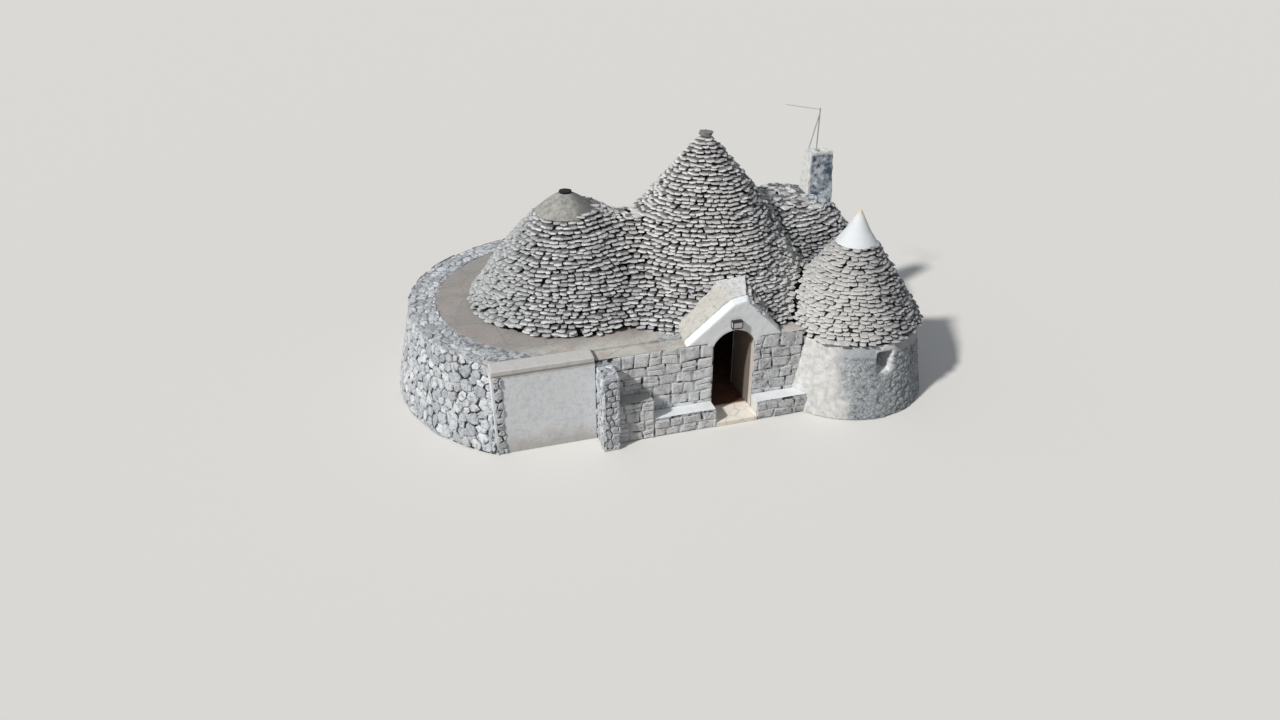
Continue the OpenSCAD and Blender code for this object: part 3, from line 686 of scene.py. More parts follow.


# %% [markdown]
# ## Slabs along course lines
# A roof slab is a flat stone with rounded corners, laid with its face outwards and its tail under the next
# course. The tree spaces points along each line, turns a slab to face down the roof at every point, and
# varies its length, thickness, tilt and place by chance. It stores how far in each corner lies, so that the
# roof's finish can paint the shade under the next slab. Where two roofs meet, a seam decides which of them a
# slab belongs to.

# %% The roof's tree
def course_growth():
    g = Growth("Roof courses", Length=float, Depth=float, Height=float, Overhang=float, Tilt=float,
               Turn=float, Roughness=float, Shelter=float, Side=float, Seam_X=float, Seam_Y=float,
               Seam_Distance=float, Seed=int, Finish=bpy.types.Material)
    length, height, turn = g.ask("Length"), g.ask("Height"), g.ask("Turn")
    line = g.add("GeometryNodeMeshToCurve", inputs={"Mesh": g.ask("Geometry")})
    spaced = g.add("GeometryNodeResampleCurve", {"mode": "LENGTH"}, {"Curve": line, "Length": length})
    slab = g.add("GeometryNodeMeshCube", inputs={"Size": (1.0, 1.0, 1.0)})
    slab = g.add("GeometryNodeSubdivisionSurface", inputs={"Mesh": slab, "Level": 1, "Edge Crease": 0.78})
    slab = g.move(slab, (0.0, -0.5, 0.0))
    # how far behind the slab's face each corner lies, for the painted shade under the next course
    slab = g.store(slab, "POINT", "sheltered", g.position()["Y"] * -1.0 * g.ask("Shelter"))
    outward = g.add("GeometryNodeInputNamedAttribute", {"data_type": "FLOAT_VECTOR"}, {"Name": "outward"})
    facing = g.add("FunctionNodeAlignRotationToVector", {"axis": "Y", "pivot_axis": "Z"}, {"Vector": outward})
    lean = g.vector(g.chance(-1.0, 1.0, 1) * turn - g.ask("Tilt"), g.chance(-1.0, 1.0, 2) * turn,
                    g.chance(-2.4, 2.4, 3) * turn)
    lean = g.add("FunctionNodeEulerToRotation", inputs={"Euler": lean})
    turned = g.add("FunctionNodeRotateRotation", {"rotation_space": "LOCAL"},
                   {"Rotation": facing, "Rotate By": lean})
    size = g.vector(length * g.chance(0.8, 1.35, 4), g.ask("Depth"), height * g.chance(0.65, 1.25, 5))
    push = g.scaled(outward, g.ask("Overhang") * g.chance(-0.6, 1.4, 6))
    drop = g.vector(g.chance(-0.15, 0.15, 8) * length, g.chance(-0.15, 0.15, 9) * length,
                    g.chance(-0.25, 0.25, 10) * height)
    laid = g.add("GeometryNodeInstanceOnPoints", inputs={
        "Points": g.move(g.move(spaced, push), drop), "Instance": slab, "Rotation": turned, "Scale": size})
    place = g.position()
    beyond = place["X"] * g.ask("Seam X") + place["Y"] * g.ask("Seam Y") - g.ask("Seam Distance")
    laid = g.add("GeometryNodeDeleteGeometry", {"domain": "INSTANCE"}, {
        "Geometry": laid, "Selection": g.compare("GREATER_THAN", beyond * g.ask("Side"), 0.0)})
    laid = g.store(laid, "INSTANCE", "tint", g.chance(0.0, 1.0, 7))
    real = g.add("GeometryNodeRealizeInstances", inputs={"Geometry": laid})
    g.finish(g.roughened(real, g.ask("Roughness"), 14.0))
    return g


COURSES = course_growth()

# %% [markdown]
# ## Cells for rubble
# In rubble every stone has its own outline, and its neighbours fit it. A net of triangles between scattered
# points has the same property turned inside out: its dual, with one cell round each point, is a wall of
# irregular stones without a gap. The tree holds the cells inside the wall and drops the slivers.

# %% The rubble layout's tree
def layout_growth():
    g = Growth("Rubble layout", Top=float, Width=float, Smallest=float, Finish=bpy.types.Material)
    cells = g.add("GeometryNodeDualMesh", inputs={"Mesh": g.ask("Geometry")})
    place = g.position()

    def within(value, limit):
        """The value, held between 0 and the limit."""
        return g.compare("MINIMUM", g.compare("MAXIMUM", value, 0.0), limit)

    upright = g.vector(within(place["X"], g.ask("Width")), 0.0, within(place["Y"], g.ask("Top")))
    cells = g.add("GeometryNodeSetPosition", inputs={"Geometry": cells, "Position": upright})
    small = g.compare("LESS_THAN", g.add("GeometryNodeInputMeshFaceArea"), g.ask("Smallest"))
    g.finish(g.add("GeometryNodeDeleteGeometry", {"domain": "FACE"}, {"Geometry": cells, "Selection": small}))
    return g


LAYOUT = layout_growth()

# %% [markdown]
# ## Stones that fill a wall
# Each cell of a layout becomes a closed stone: drawn in by its joint, pushed out to a depth of its own, and
# crowned twice, which gives it a shoulder and a face. Extruding cells costs a few dozen faces a stone, and
# it works for rubble and for hewn blocks alike. Only the layout and the sizes differ.

# %% The wall stones' tree
def wall_growth():
    g = Growth("Wall stones", Fill=float, Depth=float, Relief=float, Shoulder=float, Roughness=float,
               Seed=int, Finish=bpy.types.Material)
    cells = g.add("GeometryNodeSplitEdges", inputs={"Mesh": g.ask("Geometry")})
    cells = g.store(cells, "FACE", "tint", g.chance(0.0, 1.0, 1))
    cells = g.add("GeometryNodeScaleElements", inputs={"Geometry": cells, "Scale": g.ask("Fill")})
    backs = g.add("GeometryNodeFlipFaces", inputs={"Mesh": cells})
    stand = g.ask("Depth") - g.ask("Relief") * g.chance(0.25, 1.0, 2)
    body = g.add("GeometryNodeExtrudeMesh", inputs={"Mesh": cells, "Offset Scale": stand, "Individual": True})
    face = g.add("GeometryNodeScaleElements", inputs={
        "Geometry": body, "Selection": body["Top"], "Scale": g.ask("Shoulder")})
    crown = g.add("GeometryNodeExtrudeMesh", inputs={
        "Mesh": face, "Selection": body["Top"], "Offset Scale": g.ask("Relief") * 0.25, "Individual": True})
    crown_face = g.add("GeometryNodeScaleElements", inputs={
        "Geometry": crown, "Selection": crown["Top"], "Scale": 0.72})
    both = g.add("GeometryNodeJoinGeometry")
    for part in (backs, crown_face):
        g.tree.links.new(part.socket, both.socket.node.inputs[0])
    closed = g.add("GeometryNodeMergeByDistance", inputs={"Geometry": both, "Distance": 0.0005})
    placed = g.move(closed, g.vector(0.0, g.ask("Depth"), 0.0))
    g.finish(g.roughened(placed, g.ask("Roughness"), 11.0))
    return g


STONES = wall_growth()


# %% [markdown]
# ## The roof as a height above each point
# The joined roofs are one surface: at each point the highest of the cones, the saddles between them and the
# lobe over the hearth, rounded a little where they meet. Written as a height above the ground plan, each
# part is a short formula, and joining them is only a matter of taking the higher one.

# %% Heights of the parts
NOWHERE = -9.0
SADDLE_START = 0.8


def cone_height(x, y, axis, foot, foot_z, apex_z, fullness):
    """Height of a cone with slightly bulging sides, which goes on falling outside its foot."""
    radius = np.hypot(x - axis[0], y - axis[1]) / foot
    return apex_z - (apex_z - foot_z) * radius ** (1 / fullness)


def saddle_height(x, y, axis, top, half_top, half_foot):
    """The ridge that joins the main cone to another one, between their axes."""
    reach = math.hypot(*axis)
    along = (x * axis[0] + y * axis[1]) / reach
    across = np.abs(y * axis[0] - x * axis[1]) / reach
    ridge = top - np.maximum(across - half_top, 0) * (top - WALL_TOP) / (half_foot - half_top)
    return np.where((along > SADDLE_START) & (along < reach), ridge, NOWHERE)


def gable_lines(y):
    """The eave, the bend, the ridge and the other eave of the little roof, at a distance back."""
    share = np.clip((y - FACADE) / GABLE_RUN, 0, 1)
    return [(x0 + (x1 - x0) * share, z0 + (z1 - z0) * share) for x0, x1, z0, z1 in zip(*GABLE_X, *GABLE_Z)]


def gable_height(x, y):
    """Height of the little roof over the door, as planes between those lines."""
    height = np.full(np.shape(x), NOWHERE)
    lines = gable_lines(y)
    for (x0, z0), (x1, z1) in zip(lines, lines[1:]):
        part = (x - x0) / (x1 - x0)
        height = np.where((part >= 0) & (part <= 1), z0 + (z1 - z0) * part, height)
    return np.where((y > FACADE) & (y < FACADE + GABLE_RUN), height, NOWHERE)


def right_of_ridge(x, y):
    """Whether a point lies on the stone side of the little roof, or beyond it."""
    return x > gable_lines(y)[2][0]


# %% The joined roof, and the tower's
LEFT_BLENDS, HEARTH_BLENDS = (0.8, 1.0), (0.6, 0.7)


def blend_up(a, b, width):
    """The higher of two heights, rounded where they cross."""
    close = np.maximum(width - np.abs(a - b), 0) / width
    return np.maximum(a, b) + close * close * width / 4


def joined_height(x, y):
    """Height of the main roof with its saddles, the left cone, the lobe and the little roof."""
    height = cone_height(x, y, **MAIN_CONE)
    for saddle, cone, (to_saddle, to_cone) in ((LEFT_SADDLE, LEFT_CONE, LEFT_BLENDS),
                                               (HEARTH_SADDLE, HEARTH_CONE, HEARTH_BLENDS)):
        height = blend_up(height, saddle_height(x, y, **saddle), to_saddle)
        height = blend_up(height, cone_height(x, y, **cone), to_cone)
    return np.where(right_of_ridge(x, y), np.maximum(height, gable_height(x, y)), height)


def tower_height(x, y):
    """Height of the tower's roof, which stands apart."""
    return cone_height(x, y, **TOWER_CONE)


print(f"roof over the middle of the house: {float(joined_height(0.0, 0.0)):.2f} m")


# %% [markdown]
# ## Course lines
# A course is a level line on the roof. Cutting the surface at every course height gives lines that run round
# a cone, over the saddle and round the next one, as the real courses do. Real courses aren't quite level
# or of one thickness, so the heights are swayed by a noise and unevenly spaced. On tops that are too flat for
# level lines, the courses run in rings round an axis instead. Each point also keeps the roof's way down,
# which turns its slab.

# %% Cut a surface into lines
LINE_STEP, LINE_WELD = 0.06, 0.002


def netted(gx, gy, z, wanted):
    """A surface over a grid of points, only where it is wanted."""
    surface = bmesh.new()
    corners = [[surface.verts.new(corner) for corner in zip(*row)] for row in zip(gx, gy, z)]
    for i, (near, far) in enumerate(zip(corners, corners[1:])):
        for j in range(len(near) - 1):
            if wanted[i:i + 2, j:j + 2].all():
                surface.faces.new((near[j], far[j], far[j + 1], near[j + 1]))
    return surface


def cut_lines(surface, levels):
    """The lines in which a surface is cut at each level, as one mesh of edges. The surface is used up."""
    lines = bmesh.new()
    for level in levels:
        cut = bmesh.ops.bisect_plane(surface, geom=surface.verts[:] + surface.edges[:] + surface.faces[:],
                                     dist=1e-6, plane_co=(0, 0, level), plane_no=(0, 0, 1))["geom_cut"]
        known = {}
        for edge in [e for e in cut if isinstance(e, bmesh.types.BMEdge)]:
            for v in edge.verts:
                if v not in known:
                    known[v] = lines.verts.new(v.co)
            lines.edges.new([known[v] for v in edge.verts])
    bmesh.ops.remove_doubles(lines, verts=lines.verts, dist=LINE_WELD)
    mesh = bpy.data.meshes.new("course lines")
    lines.to_mesh(mesh)
    lines.free()
    surface.free()
    return mesh


# %% Course lines on a roof
SWAYS = ((0.06, 0.9, 3.0), (0.02, 2.6, 7.0))
SWAY_GAIN, SLOPE_REACH = 1.4, 0.03
THINNEST, THICKEST = 0.84, 1.18


def swayed(xs, ys):
    """A slow and a quick noise, for courses that aren't quite level."""
    return [[sum(depth * noise.noise((x * size, y * size, layer)) for depth, size, layer in SWAYS)
             for y in ys] for x in xs]


def way_down(height, x, y):
    """The level direction in which a roof falls at each point."""
    d = SLOPE_REACH
    slope = np.stack([height(x - d, y) - height(x + d, y), height(x, y - d) - height(x, y + d), 0 * x], 1)
    return slope / np.maximum(np.linalg.norm(slope, axis=1, keepdims=True), 1e-6)


def course_lines(height, keep, area, levels, step=LINE_STEP, rule=None):
    """Lines on a height surface, level or at set values of a rule, each point with the roof's way down."""
    (x0, y0), (x1, y1) = area
    xs, ys = np.arange(x0, x1, step), np.arange(y0, y1, step)
    gx, gy = np.meshgrid(xs, ys, indexing="ij")
    z = height(gx, gy)
    steep = np.clip(np.hypot(*np.gradient(z, step)) * SWAY_GAIN, 0, 1)
    followed = z + steep * swayed(xs, ys) if rule is None else rule(gx, gy)
    mesh = cut_lines(netted(gx, gy, followed, keep(gx, gy, z)), levels)
    points = np.array([v.co for v in mesh.vertices])
    x, y = points[:, 0], points[:, 1]
    mesh.vertices.foreach_set("co", np.stack([x, y, height(x, y)], 1).astype(np.float32).ravel())
    outward = mesh.attributes.new("outward", "FLOAT_VECTOR", "POINT")
    outward.data.foreach_set("vector", way_down(height, x, y).astype(np.float32).ravel())
    print("course lines:", len(mesh.edges), "edges")
    return mesh


def uneven_levels(low, high, spacing, seed):
    """Heights of courses that are not all laid from slabs of one thickness."""
    count = int((high - low) / spacing)
    steps = np.random.default_rng(seed).uniform(THINNEST, THICKEST, count) * spacing
    return low + np.concatenate(([0.0], np.cumsum(steps)))


# %% [markdown]
# ## Where each roof has its courses
# The slabs stop where something else takes over: below the caps, at the tower, under the plastered side of
# the little roof over the door, and along its ridge, where a deep slab would come out on the other side.
# Each rule is a test on a point, and the tests are joined into one for each set of lines.

# %% Where the courses run
SEAM = np.array(LEFT_AXIS) / math.hypot(*LEFT_AXIS)
CAP_EDGE, CAP_STEP = 4.02, 0.09
TOWER_COURSES = (1.66, 3.56)


def from_axis(x, y, axis):
    """Distance from an upright axis."""
    return np.hypot(x - axis[0], y - axis[1])


def beyond_seam(x, y):
    """Whether a point lies on the left cone's side of the valley."""
    return x * SEAM[0] + y * SEAM[1] > SEAM_DISTANCE


def under_plaster(x, y, z):
    """Where the plastered side of the little roof covers the cone."""
    return (gable_height(x, y) > z + 0.06) & ~right_of_ridge(x - 0.1, y) | (y < FACADE + 0.13)


def by_ridge(x, y, z):
    """A strip beside the ridge of the little roof, where slabs have to be shallow."""
    return right_of_ridge(x - 0.06, y) & ~right_of_ridge(x - 0.42, y) & (gable_height(x, y) > z - 0.02)


def body_keep(x, y, z):
    """The main roof, the left roof up to its cap, and the hearth's lobe."""
    cap_edge = CAP_EDGE + CAP_STEP * (x > LEFT_AXIS[0] + 0.15)
    on_left = beyond_seam(x, y) & (z < cap_edge) & (z > WALL_TOP + 0.08)
    on_body = (on_left | ~beyond_seam(x, y)) & (z > WALL_TOP - 0.12)
    above_tower = z > tower_height(x, y) + 0.02
    return on_body & above_tower & ~under_plaster(x, y, z) & ~by_ridge(x, y, z)


def flat_top(x, y, z):
    """Tops that are too flat for level lines: the hearth's lobe and the saddle to the left cone."""
    across, along = np.gradient(z, x[1, 0] - x[0, 0])
    off_cap = from_axis(x, y, LEFT_AXIS) > 0.75
    return (np.hypot(across, along) < 0.6) & (z > 3.1) & (z < 4.3) & off_cap


def tower_keep(x, y, z):
    """The tower's roof, wherever it isn't inside the main one."""
    return (z > TOWER_COURSES[0]) & (z < TOWER_COURSES[1]) & (z > joined_height(x, y) - 0.02)


# %% The lines
LEVELS = uneven_levels(WALL_TOP + 0.035, 5.52, COURSE, 3)
TOWER_LEVELS = uneven_levels(1.77, 3.5, COURSE, 4)
RINGS = np.arange(0.1, 3.2, 2 * COURSE)
BODY_AREA, TOWER_AREA = ((-5.7, -3.1), (4.8, 3.1)), ((0.9, -4.2), (4.7, -0.4))
LOBE_AREA, SADDLE_AREA = ((0.6, -0.6), (4.0, 2.2)), ((-3.1, -1.2), (-0.8, 1.5))
RIDGE_AREA, RIDGE_STEP = ((-0.3, -3.0), (0.9, -1.4)), 0.04
body_lines = course_lines(joined_height, body_keep, BODY_AREA, LEVELS)
lobe_lines = course_lines(joined_height, flat_top, LOBE_AREA, RINGS,
                          rule=lambda x, y: from_axis(x, y, HEARTH_AXIS))
saddle_lines = course_lines(joined_height, flat_top, SADDLE_AREA, RINGS, rule=np.hypot)
ridge_lines = course_lines(joined_height, by_ridge, RIDGE_AREA, LEVELS, step=RIDGE_STEP)
tower_lines = course_lines(tower_height, tower_keep, TOWER_AREA, TOWER_LEVELS)

# %% [markdown]
# ## Laying the slabs
# All the roofs are laid with slabs of one kind, about a hand's length wide and a forearm deep. On the flat
# tops the slabs lie open to the sky, so they get less painted shade, and beside the little roof's ridge they
# are shallow. Behind the slabs each roof solid stays as a core with its vault, painted near black as shade,
# so no gap shows daylight.

# %% Slabs on every roof
SLAB = dict(Length=0.18, Depth=0.3, Height=0.045, Overhang=0.038, Tilt=0.14, Turn=0.11, Roughness=0.046,
            Shelter=1.0, Finish=ROOF, Seam_X=float(SEAM[0]), Seam_Y=float(SEAM[1]),
            Seam_Distance=SEAM_DISTANCE)
OPEN_SLAB = {**SLAB, "Shelter": 0.4}
MAIN_SIDE, EITHER_SIDE, LEFT_SIDE = 1.0, 0.0, -1.0
main_slabs = [grow(body_lines.copy(), COURSES, Side=MAIN_SIDE, Seed=20, **SLAB)]
for lines in (lobe_lines, saddle_lines):
    main_slabs.append(grow(lines, COURSES, Side=EITHER_SIDE, Seed=40, **OPEN_SLAB))
main_slabs.append(grow(ridge_lines, COURSES, Side=EITHER_SIDE, Seed=45, **{**OPEN_SLAB, "Depth": 0.11}))
left_slabs = grow(body_lines, COURSES, Side=LEFT_SIDE, Seed=20, **SLAB)
tower_slabs = grow(tower_lines, COURSES, Side=EITHER_SIDE, Seed=60, **SLAB)
piece("main_courses", joined("main_courses", main_slabs), ["main_roof", "hearth_roof"])
piece("left_courses", left_slabs, ["left_roof"])
piece("tower_courses", tower_slabs, ["tower_roof"])

# %% Cores behind the slabs
VAULTS = {
    "main_roof": dict(axis=(0, 0), foot=1.85, foot_z=1.9, apex_z=4.7),
    "left_roof": dict(axis=LEFT_AXIS, foot=1.05, foot_z=1.9, apex_z=3.6),
    "hearth_roof": dict(axis=HEARTH_AXIS, foot=0.0, foot_z=1.9, apex_z=2.0),
    "tower_roof": dict(axis=TOWER_AXIS, foot=1.0, foot_z=1.72, apex_z=3.0),
}
CORE_IN, CORE_DOWN, VAULT_FULLNESS = 0.13, 0.06, 0.75


def roof_skin(axis, foot, foot_z, apex_z):
    """The outer skin of a roof: whatever stands well outside the vault below it."""
    def step(point):
        across = Vector((point.x - axis[0], point.y - axis[1], 0))
        inside = foot * max((apex_z - point.z) / (apex_z - foot_z), 0) ** VAULT_FULLNESS
        if point.z < WALL_TOP - 0.25 or across.length < inside + 0.05 and point.z < apex_z:
            return None
        down = CORE_DOWN if point.z > WALL_TOP + 0.2 else 0.0
        return -across.normalized() * min(CORE_IN, across.length * 0.8) - Vector((0, 0, down))
    return step


for node, vault in VAULTS.items():
    piece(node + "_core", sunk([node], [roof_skin(**vault)], GAPS, ROOM), [node])

# %% [markdown]
# ## Walls, laid flat first
# A wall is easier to lay flat, as on a drawing, and to bend into place afterwards. Rubble starts from points
# strewn over the flat wall, each the middle of one stone, joined to a net of triangles. Hewn blocks lie in
# rows: each row has its own height, each block its own length, and some are two thin beds instead of one.

# %% Rubble on a flat wall
SCATTER_ALONG, SCATTER_UP, LEFT_OUT, SLIVER = 0.42, 0.36, 0.12, 0.2


def scattered_net(width, top, length, height, seed):
    """Points strewn over a flat wall and joined to triangles. Each point is the middle of a stone."""
    chance = np.random.default_rng(seed)
    columns, rows = np.arange(-1, int(width / length) + 3), np.arange(-1, int(top / height) + 3)
    column, row = np.meshgrid(columns, rows, indexing="ij")
    along = (column + row % 2 * 0.5 + chance.uniform(-SCATTER_ALONG, SCATTER_ALONG, column.shape)) * length
    up = (row + 0.5 + chance.uniform(-SCATTER_UP, SCATTER_UP, row.shape)) * height
    kept = chance.random(column.shape) > LEFT_OUT
    points = [Vector(p) for p in zip(along[kept], up[kept])]
    corners, _, triangles, *_ = geometry.delaunay_2d_cdt(points, [], [], 0, 1e-5)
    mesh = bpy.data.meshes.new("net")
    mesh.from_pydata([(p.x, p.y, 0) for p in corners], [], triangles)
    return mesh


def rubble(width, top, cell, net_seed, stone_seed, shape):
    """Limewashed stones of no fixed shape on a flat wall. The cell is their mean length and height."""
    length, height = cell
    layout = grow(scattered_net(width, top, length, height, net_seed), LAYOUT, Width=width, Top=top,
                  Smallest=length * height * SLIVER, Finish=JOINTS)
    stones = grow(layout, STONES, Seed=stone_seed, Finish=LIMED, **shape)
    print(f"rubble on {width:.2f} x {top:.2f} m: {len(layout.polygons)} stones")
    return stones


# %% Hewn blocks on a flat wall
BLOCK_LENGTH, SHORTEST_BLOCK, SHORTEST_END = 0.36, 0.09, 0.12
SPLIT_SHARE, SPLIT_FROM = 0.3, 0.2
CORNER_SWAY, STILL_EDGE = 0.07, 0.02
noise.seed_set(5)  # without a seed, noise_vector gives another result each run


def block_layout(width, courses, seed):
    """Rows of blocks of uneven length, one row for each course height."""
    chance = np.random.default_rng(seed)
    rows = bmesh.new()
    z = 0.0
    for height in courses:
        x = -chance.uniform(0, BLOCK_LENGTH)
        while x < width - STILL_EDGE:
            end = x + BLOCK_LENGTH * chance.uniform(0.65, 1.35)
            if width - end < SHORTEST_END:
                end = width
            a, b = max(x, 0), min(end, width)
            split = chance.random() < SPLIT_SHARE and height > SPLIT_FROM
            beds = (z, z + height * chance.uniform(0.4, 0.6), z + height) if split else (z, z + height)
            for low, high in zip(beds, beds[1:]):
                if b - a > SHORTEST_BLOCK:
                    face = (a, 0, low), (b, 0, low), (b, 0, high), (a, 0, high)
                    rows.faces.new([rows.verts.new(corner) for corner in face])
            x = end
        z += height
    for vertex in rows.verts:
        sway = noise.noise_vector(vertex.co * 2.7 + Vector((seed, 0, 0))) * CORNER_SWAY
        inside = STILL_EDGE < vertex.co.x < width - STILL_EDGE, STILL_EDGE < vertex.co.z < z - STILL_EDGE
        vertex.co += Vector((sway.x * inside[0], 0, sway.z * inside[1]))
    mesh = bpy.data.meshes.new("blocks")
    rows.to_mesh(mesh)
    rows.free()
    print(f"blocks on {width:.2f} x {z:.2f} m: {len(mesh.polygons)}")
    return mesh


# %% [markdown]
# ## Bending the flat walls
# Depth in a flat wall is its second axis, so one rule each is enough to wrap it round an axis, to stand it
# up, or to lay it down as a ring. The skins below do the opposite to the solids: they say how far each point
# of an outer face moves in, and leave every other point alone.

# %% Flat walls in their places
def wrapped(mesh, axis, radii, start):
    """Lays a flat wall round an axis: along becomes an angle, and depth goes towards the axis."""
    for vertex in mesh.vertices:
        along, depth, up = vertex.co
        up = max(up, 0)
        radius = radii[0] + (radii[1] - radii[0]) * up / WALL_TOP - depth
        angle = math.radians(start) + along / radii[1]
        vertex.co = (axis[0] + radius * math.cos(angle), axis[1] + radius * math.sin(angle), up)
    return mesh


def stood(mesh, origin, right=(1, 0, 0), up=(0, 0, 1)):
    """Stands a flat wall at a place, with its own directions for along and up."""
    origin, right, up = Vector(origin), Vector(right).normalized(), Vector(up).normalized()
    out = right.cross(up)
    for vertex in mesh.vertices:
        vertex.co = origin + right * vertex.co.x + up * vertex.co.z - out * vertex.co.y
        vertex.co.z = max(vertex.co.z, 0)
    return mesh


def ringed(mesh, axis, radius, start, top, width):
    """Lays a flat wall on its back round an axis: along becomes an angle, and up goes towards the axis."""
    for vertex in mesh.vertices:
        along, depth, up = vertex.co
        angle = math.radians(start) + along / radius
        reach = radius - up * width(math.degrees(angle))
        vertex.co = (axis[0] + reach * math.cos(angle), axis[1] + reach * math.sin(angle), top - depth)
    mesh.flip_normals()
    return mesh


# %% Outer faces that move in
ROUND_TOLERANCE, FRONT_TOLERANCE, FLAT_TOLERANCE = 0.012, 0.002, 0.003


def round_skin(axis, radii, depth):
    """The outer face of a round wall that leans in from the ground to its top."""
    def step(point):
        across = Vector((point.x - axis[0], point.y - axis[1], 0))
        face = radii[0] + (radii[1] - radii[0]) * min(point.z / WALL_TOP, 1)
        return -across.normalized() * depth if across.length > face - ROUND_TOLERANCE else None
    return step


def front_skin(depth):
    """The front face of the courtyard side."""
    return lambda point: Vector((0, depth, 0)) if point.y < FACADE + FRONT_TOLERANCE else None


def face_skin(index, value, depth):
    """The flat face of a solid that lies at a value on one axis."""
    def step(point):
        if abs(point[index] - value) > FLAT_TOLERANCE:
            return None
        offset = Vector((0, 0, 0))
        offset[index] = depth
        return offset
    return step


# %% [markdown]
# ## Rubble round the drum, the back and the hearth
# These walls are stones of no fixed shape with deep joints, whitewashed over. Each stretch is as long as its
# arc at the top of the wall. Along the terrace's rim the same kind of stones lie on their backs, in a band
# that is broad at the far left and narrow where it meets the courtyard side.

# %% Round walls
RUBBLE = dict(Fill=0.95, Depth=0.09, Relief=0.04, Shoulder=0.82, Roughness=0.06)
RUBBLE_CELL, ROUND_SINK = (0.26, 0.17), 0.045
ROUND_WALLS = {
    "drum_wall": (DRUM_AXIS, DRUM_RADII, (44.0, 232.5), [
        "drum_wall_back_link", "drum_wall_back", "drum_wall_left", "drum_wall_front_left",
        "drum_wall_front_link"]),
    "back_wall": ((0, 0), (MAIN_RADIUS, MAIN_RADIUS), (59.0, 102.0), [
        "main_wall_back_right", "main_wall_back", "main_wall_back_left", "main_wall_right"]),
    "hearth_wall": (HEARTH_AXIS, (HEARTH_RADIUS, HEARTH_RADIUS), (-80.0, 118.0), [
        "hearth_wall_front", "hearth_wall_back", "hearth_breast"]),
}
for i, (name, (axis, radii, (start, end), nodes)) in enumerate(ROUND_WALLS.items()):
    stones = rubble(math.radians(end - start) * radii[1], WALL_TOP, RUBBLE_CELL, i + 5, i + 30, RUBBLE)
    piece(name + "_stones", wrapped(stones, axis, radii, start), nodes)
    core = sunk(nodes, [round_skin(axis, radii, ROUND_SINK)], JOINTS, ROOM, SCREED)
    piece(name + "_core", core, nodes)

# %% Stones along the terrace's rim
RIM = dict(Fill=0.94, Depth=0.07, Relief=0.035, Shoulder=0.84, Roughness=0.05)
RIM_CELL, RIM_START, RIM_END = (0.24, 0.3), 50.0, 229.0
RIM_RADIUS, RIM_TOP = DRUM_RADII[1] + 0.02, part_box("terrace_screed")[1].z + 0.03


def rim_width(angle):
    """The width of the band in metres, by the angle round the drum."""
    return float(np.interp(angle, (48, 75, 200, 232), (0.3, 0.62, 0.66, 0.24)))


rim = rubble(math.radians(RIM_END - RIM_START) * DRUM_RADII[1], 1.0, RIM_CELL, 17, 71, RIM)
piece("rim_stones", ringed(rim, DRUM_AXIS, RIM_RADIUS, RIM_START, RIM_TOP, rim_width))

# %% [markdown]
# ## Hewn blocks on the courtyard side
# Here the mason worked with dressed blocks in level courses, because this is the side that is seen. The
# courses have their own heights. The joints are shallow and partly full of wash.

# %% Courtyard side
BLOCKS = dict(Fill=0.95, Depth=0.05, Relief=0.03, Shoulder=0.88, Roughness=0.03)
FACADE_COURSES = (0.26, 0.28, 0.24, 0.27, 0.25, 0.26, 0.34)
BESIDE_DOOR, FRONT_SINK = 1.16, 0.03


def hewn(origin, width, courses, seed, right=(1, 0, 0)):
    """A face of hewn blocks that starts at a place and runs to the right."""
    stones = grow(block_layout(width, courses, seed), STONES, Seed=seed, Finish=HEWN, **BLOCKS)
    return stood(stones, origin, right)


door_left, door_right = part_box("threshold")[0].x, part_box("threshold")[1].x
pier_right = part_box("panel_pier")[1].x
front = [
    hewn((pier_right, FACADE, 0), door_left - pier_right, FACADE_COURSES, 41),
    hewn((door_right, FACADE, 0), BESIDE_DOOR, FACADE_COURSES, 42),
]
front_nodes = ["front_wall_left", "front_wall_right", "step_wall"]
front_core = sunk(front_nodes, [front_skin(FRONT_SINK)], WASHED_JOINTS, ROOM, SCREED)
piece("front_blocks", joined("front_blocks", front), front_nodes)
piece("front_core", front_core, front_nodes)


# %% [markdown]
# ## Plaster, worn soft
# Whitewashed plaster has no sharp edges: it has been laid by hand over stone, coat upon coat. A solid's
# mesh is rebuilt from small even cells, smoothed a few rounds, and pressed in by a noise, which gives round
# corners and hollows in its face. Solids that are one mass of plaster are rebuilt together. On the tower the
# wash is thin towards the window, so the joints of the rubble below it are pressed in as well.

# %% Soften a solid
JOINT_PRESS, JOINT_WIDTH, JOINT_SIZE, LYING = 0.03, 0.22, 4.6, 1.5


def joint_depth(place):
    """0 on the face of a stone and 1 in the joint between two, for rubble under a coat of wash."""
    nearest, second, *_ = noise.voronoi(Vector((place.x, place.y, place.z * LYING)) * JOINT_SIZE)[0]
    return max(1 - (second - nearest) / JOINT_WIDTH, 0)


def rebuilt(nodes, cell, rounds):
    """Solids rebuilt together from even cells, with their corners worn round."""
    carrier = bpy.data.objects.new("soft", welded(nodes))
    bpy.context.scene.collection.objects.link(carrier)
    remesh = carrier.modifiers.new("Even cells", "REMESH")
    remesh.mode, remesh.voxel_size = "VOXEL", cell
    smooth = carrier.modifiers.new("Worn corners", "SMOOTH")
    smooth.factor, smooth.iterations = 0.5, rounds
    mesh = bpy.data.meshes.new_from_object(carrier.evaluated_get(bpy.context.evaluated_depsgraph_get()))
    bpy.data.objects.remove(carrier)
    return mesh


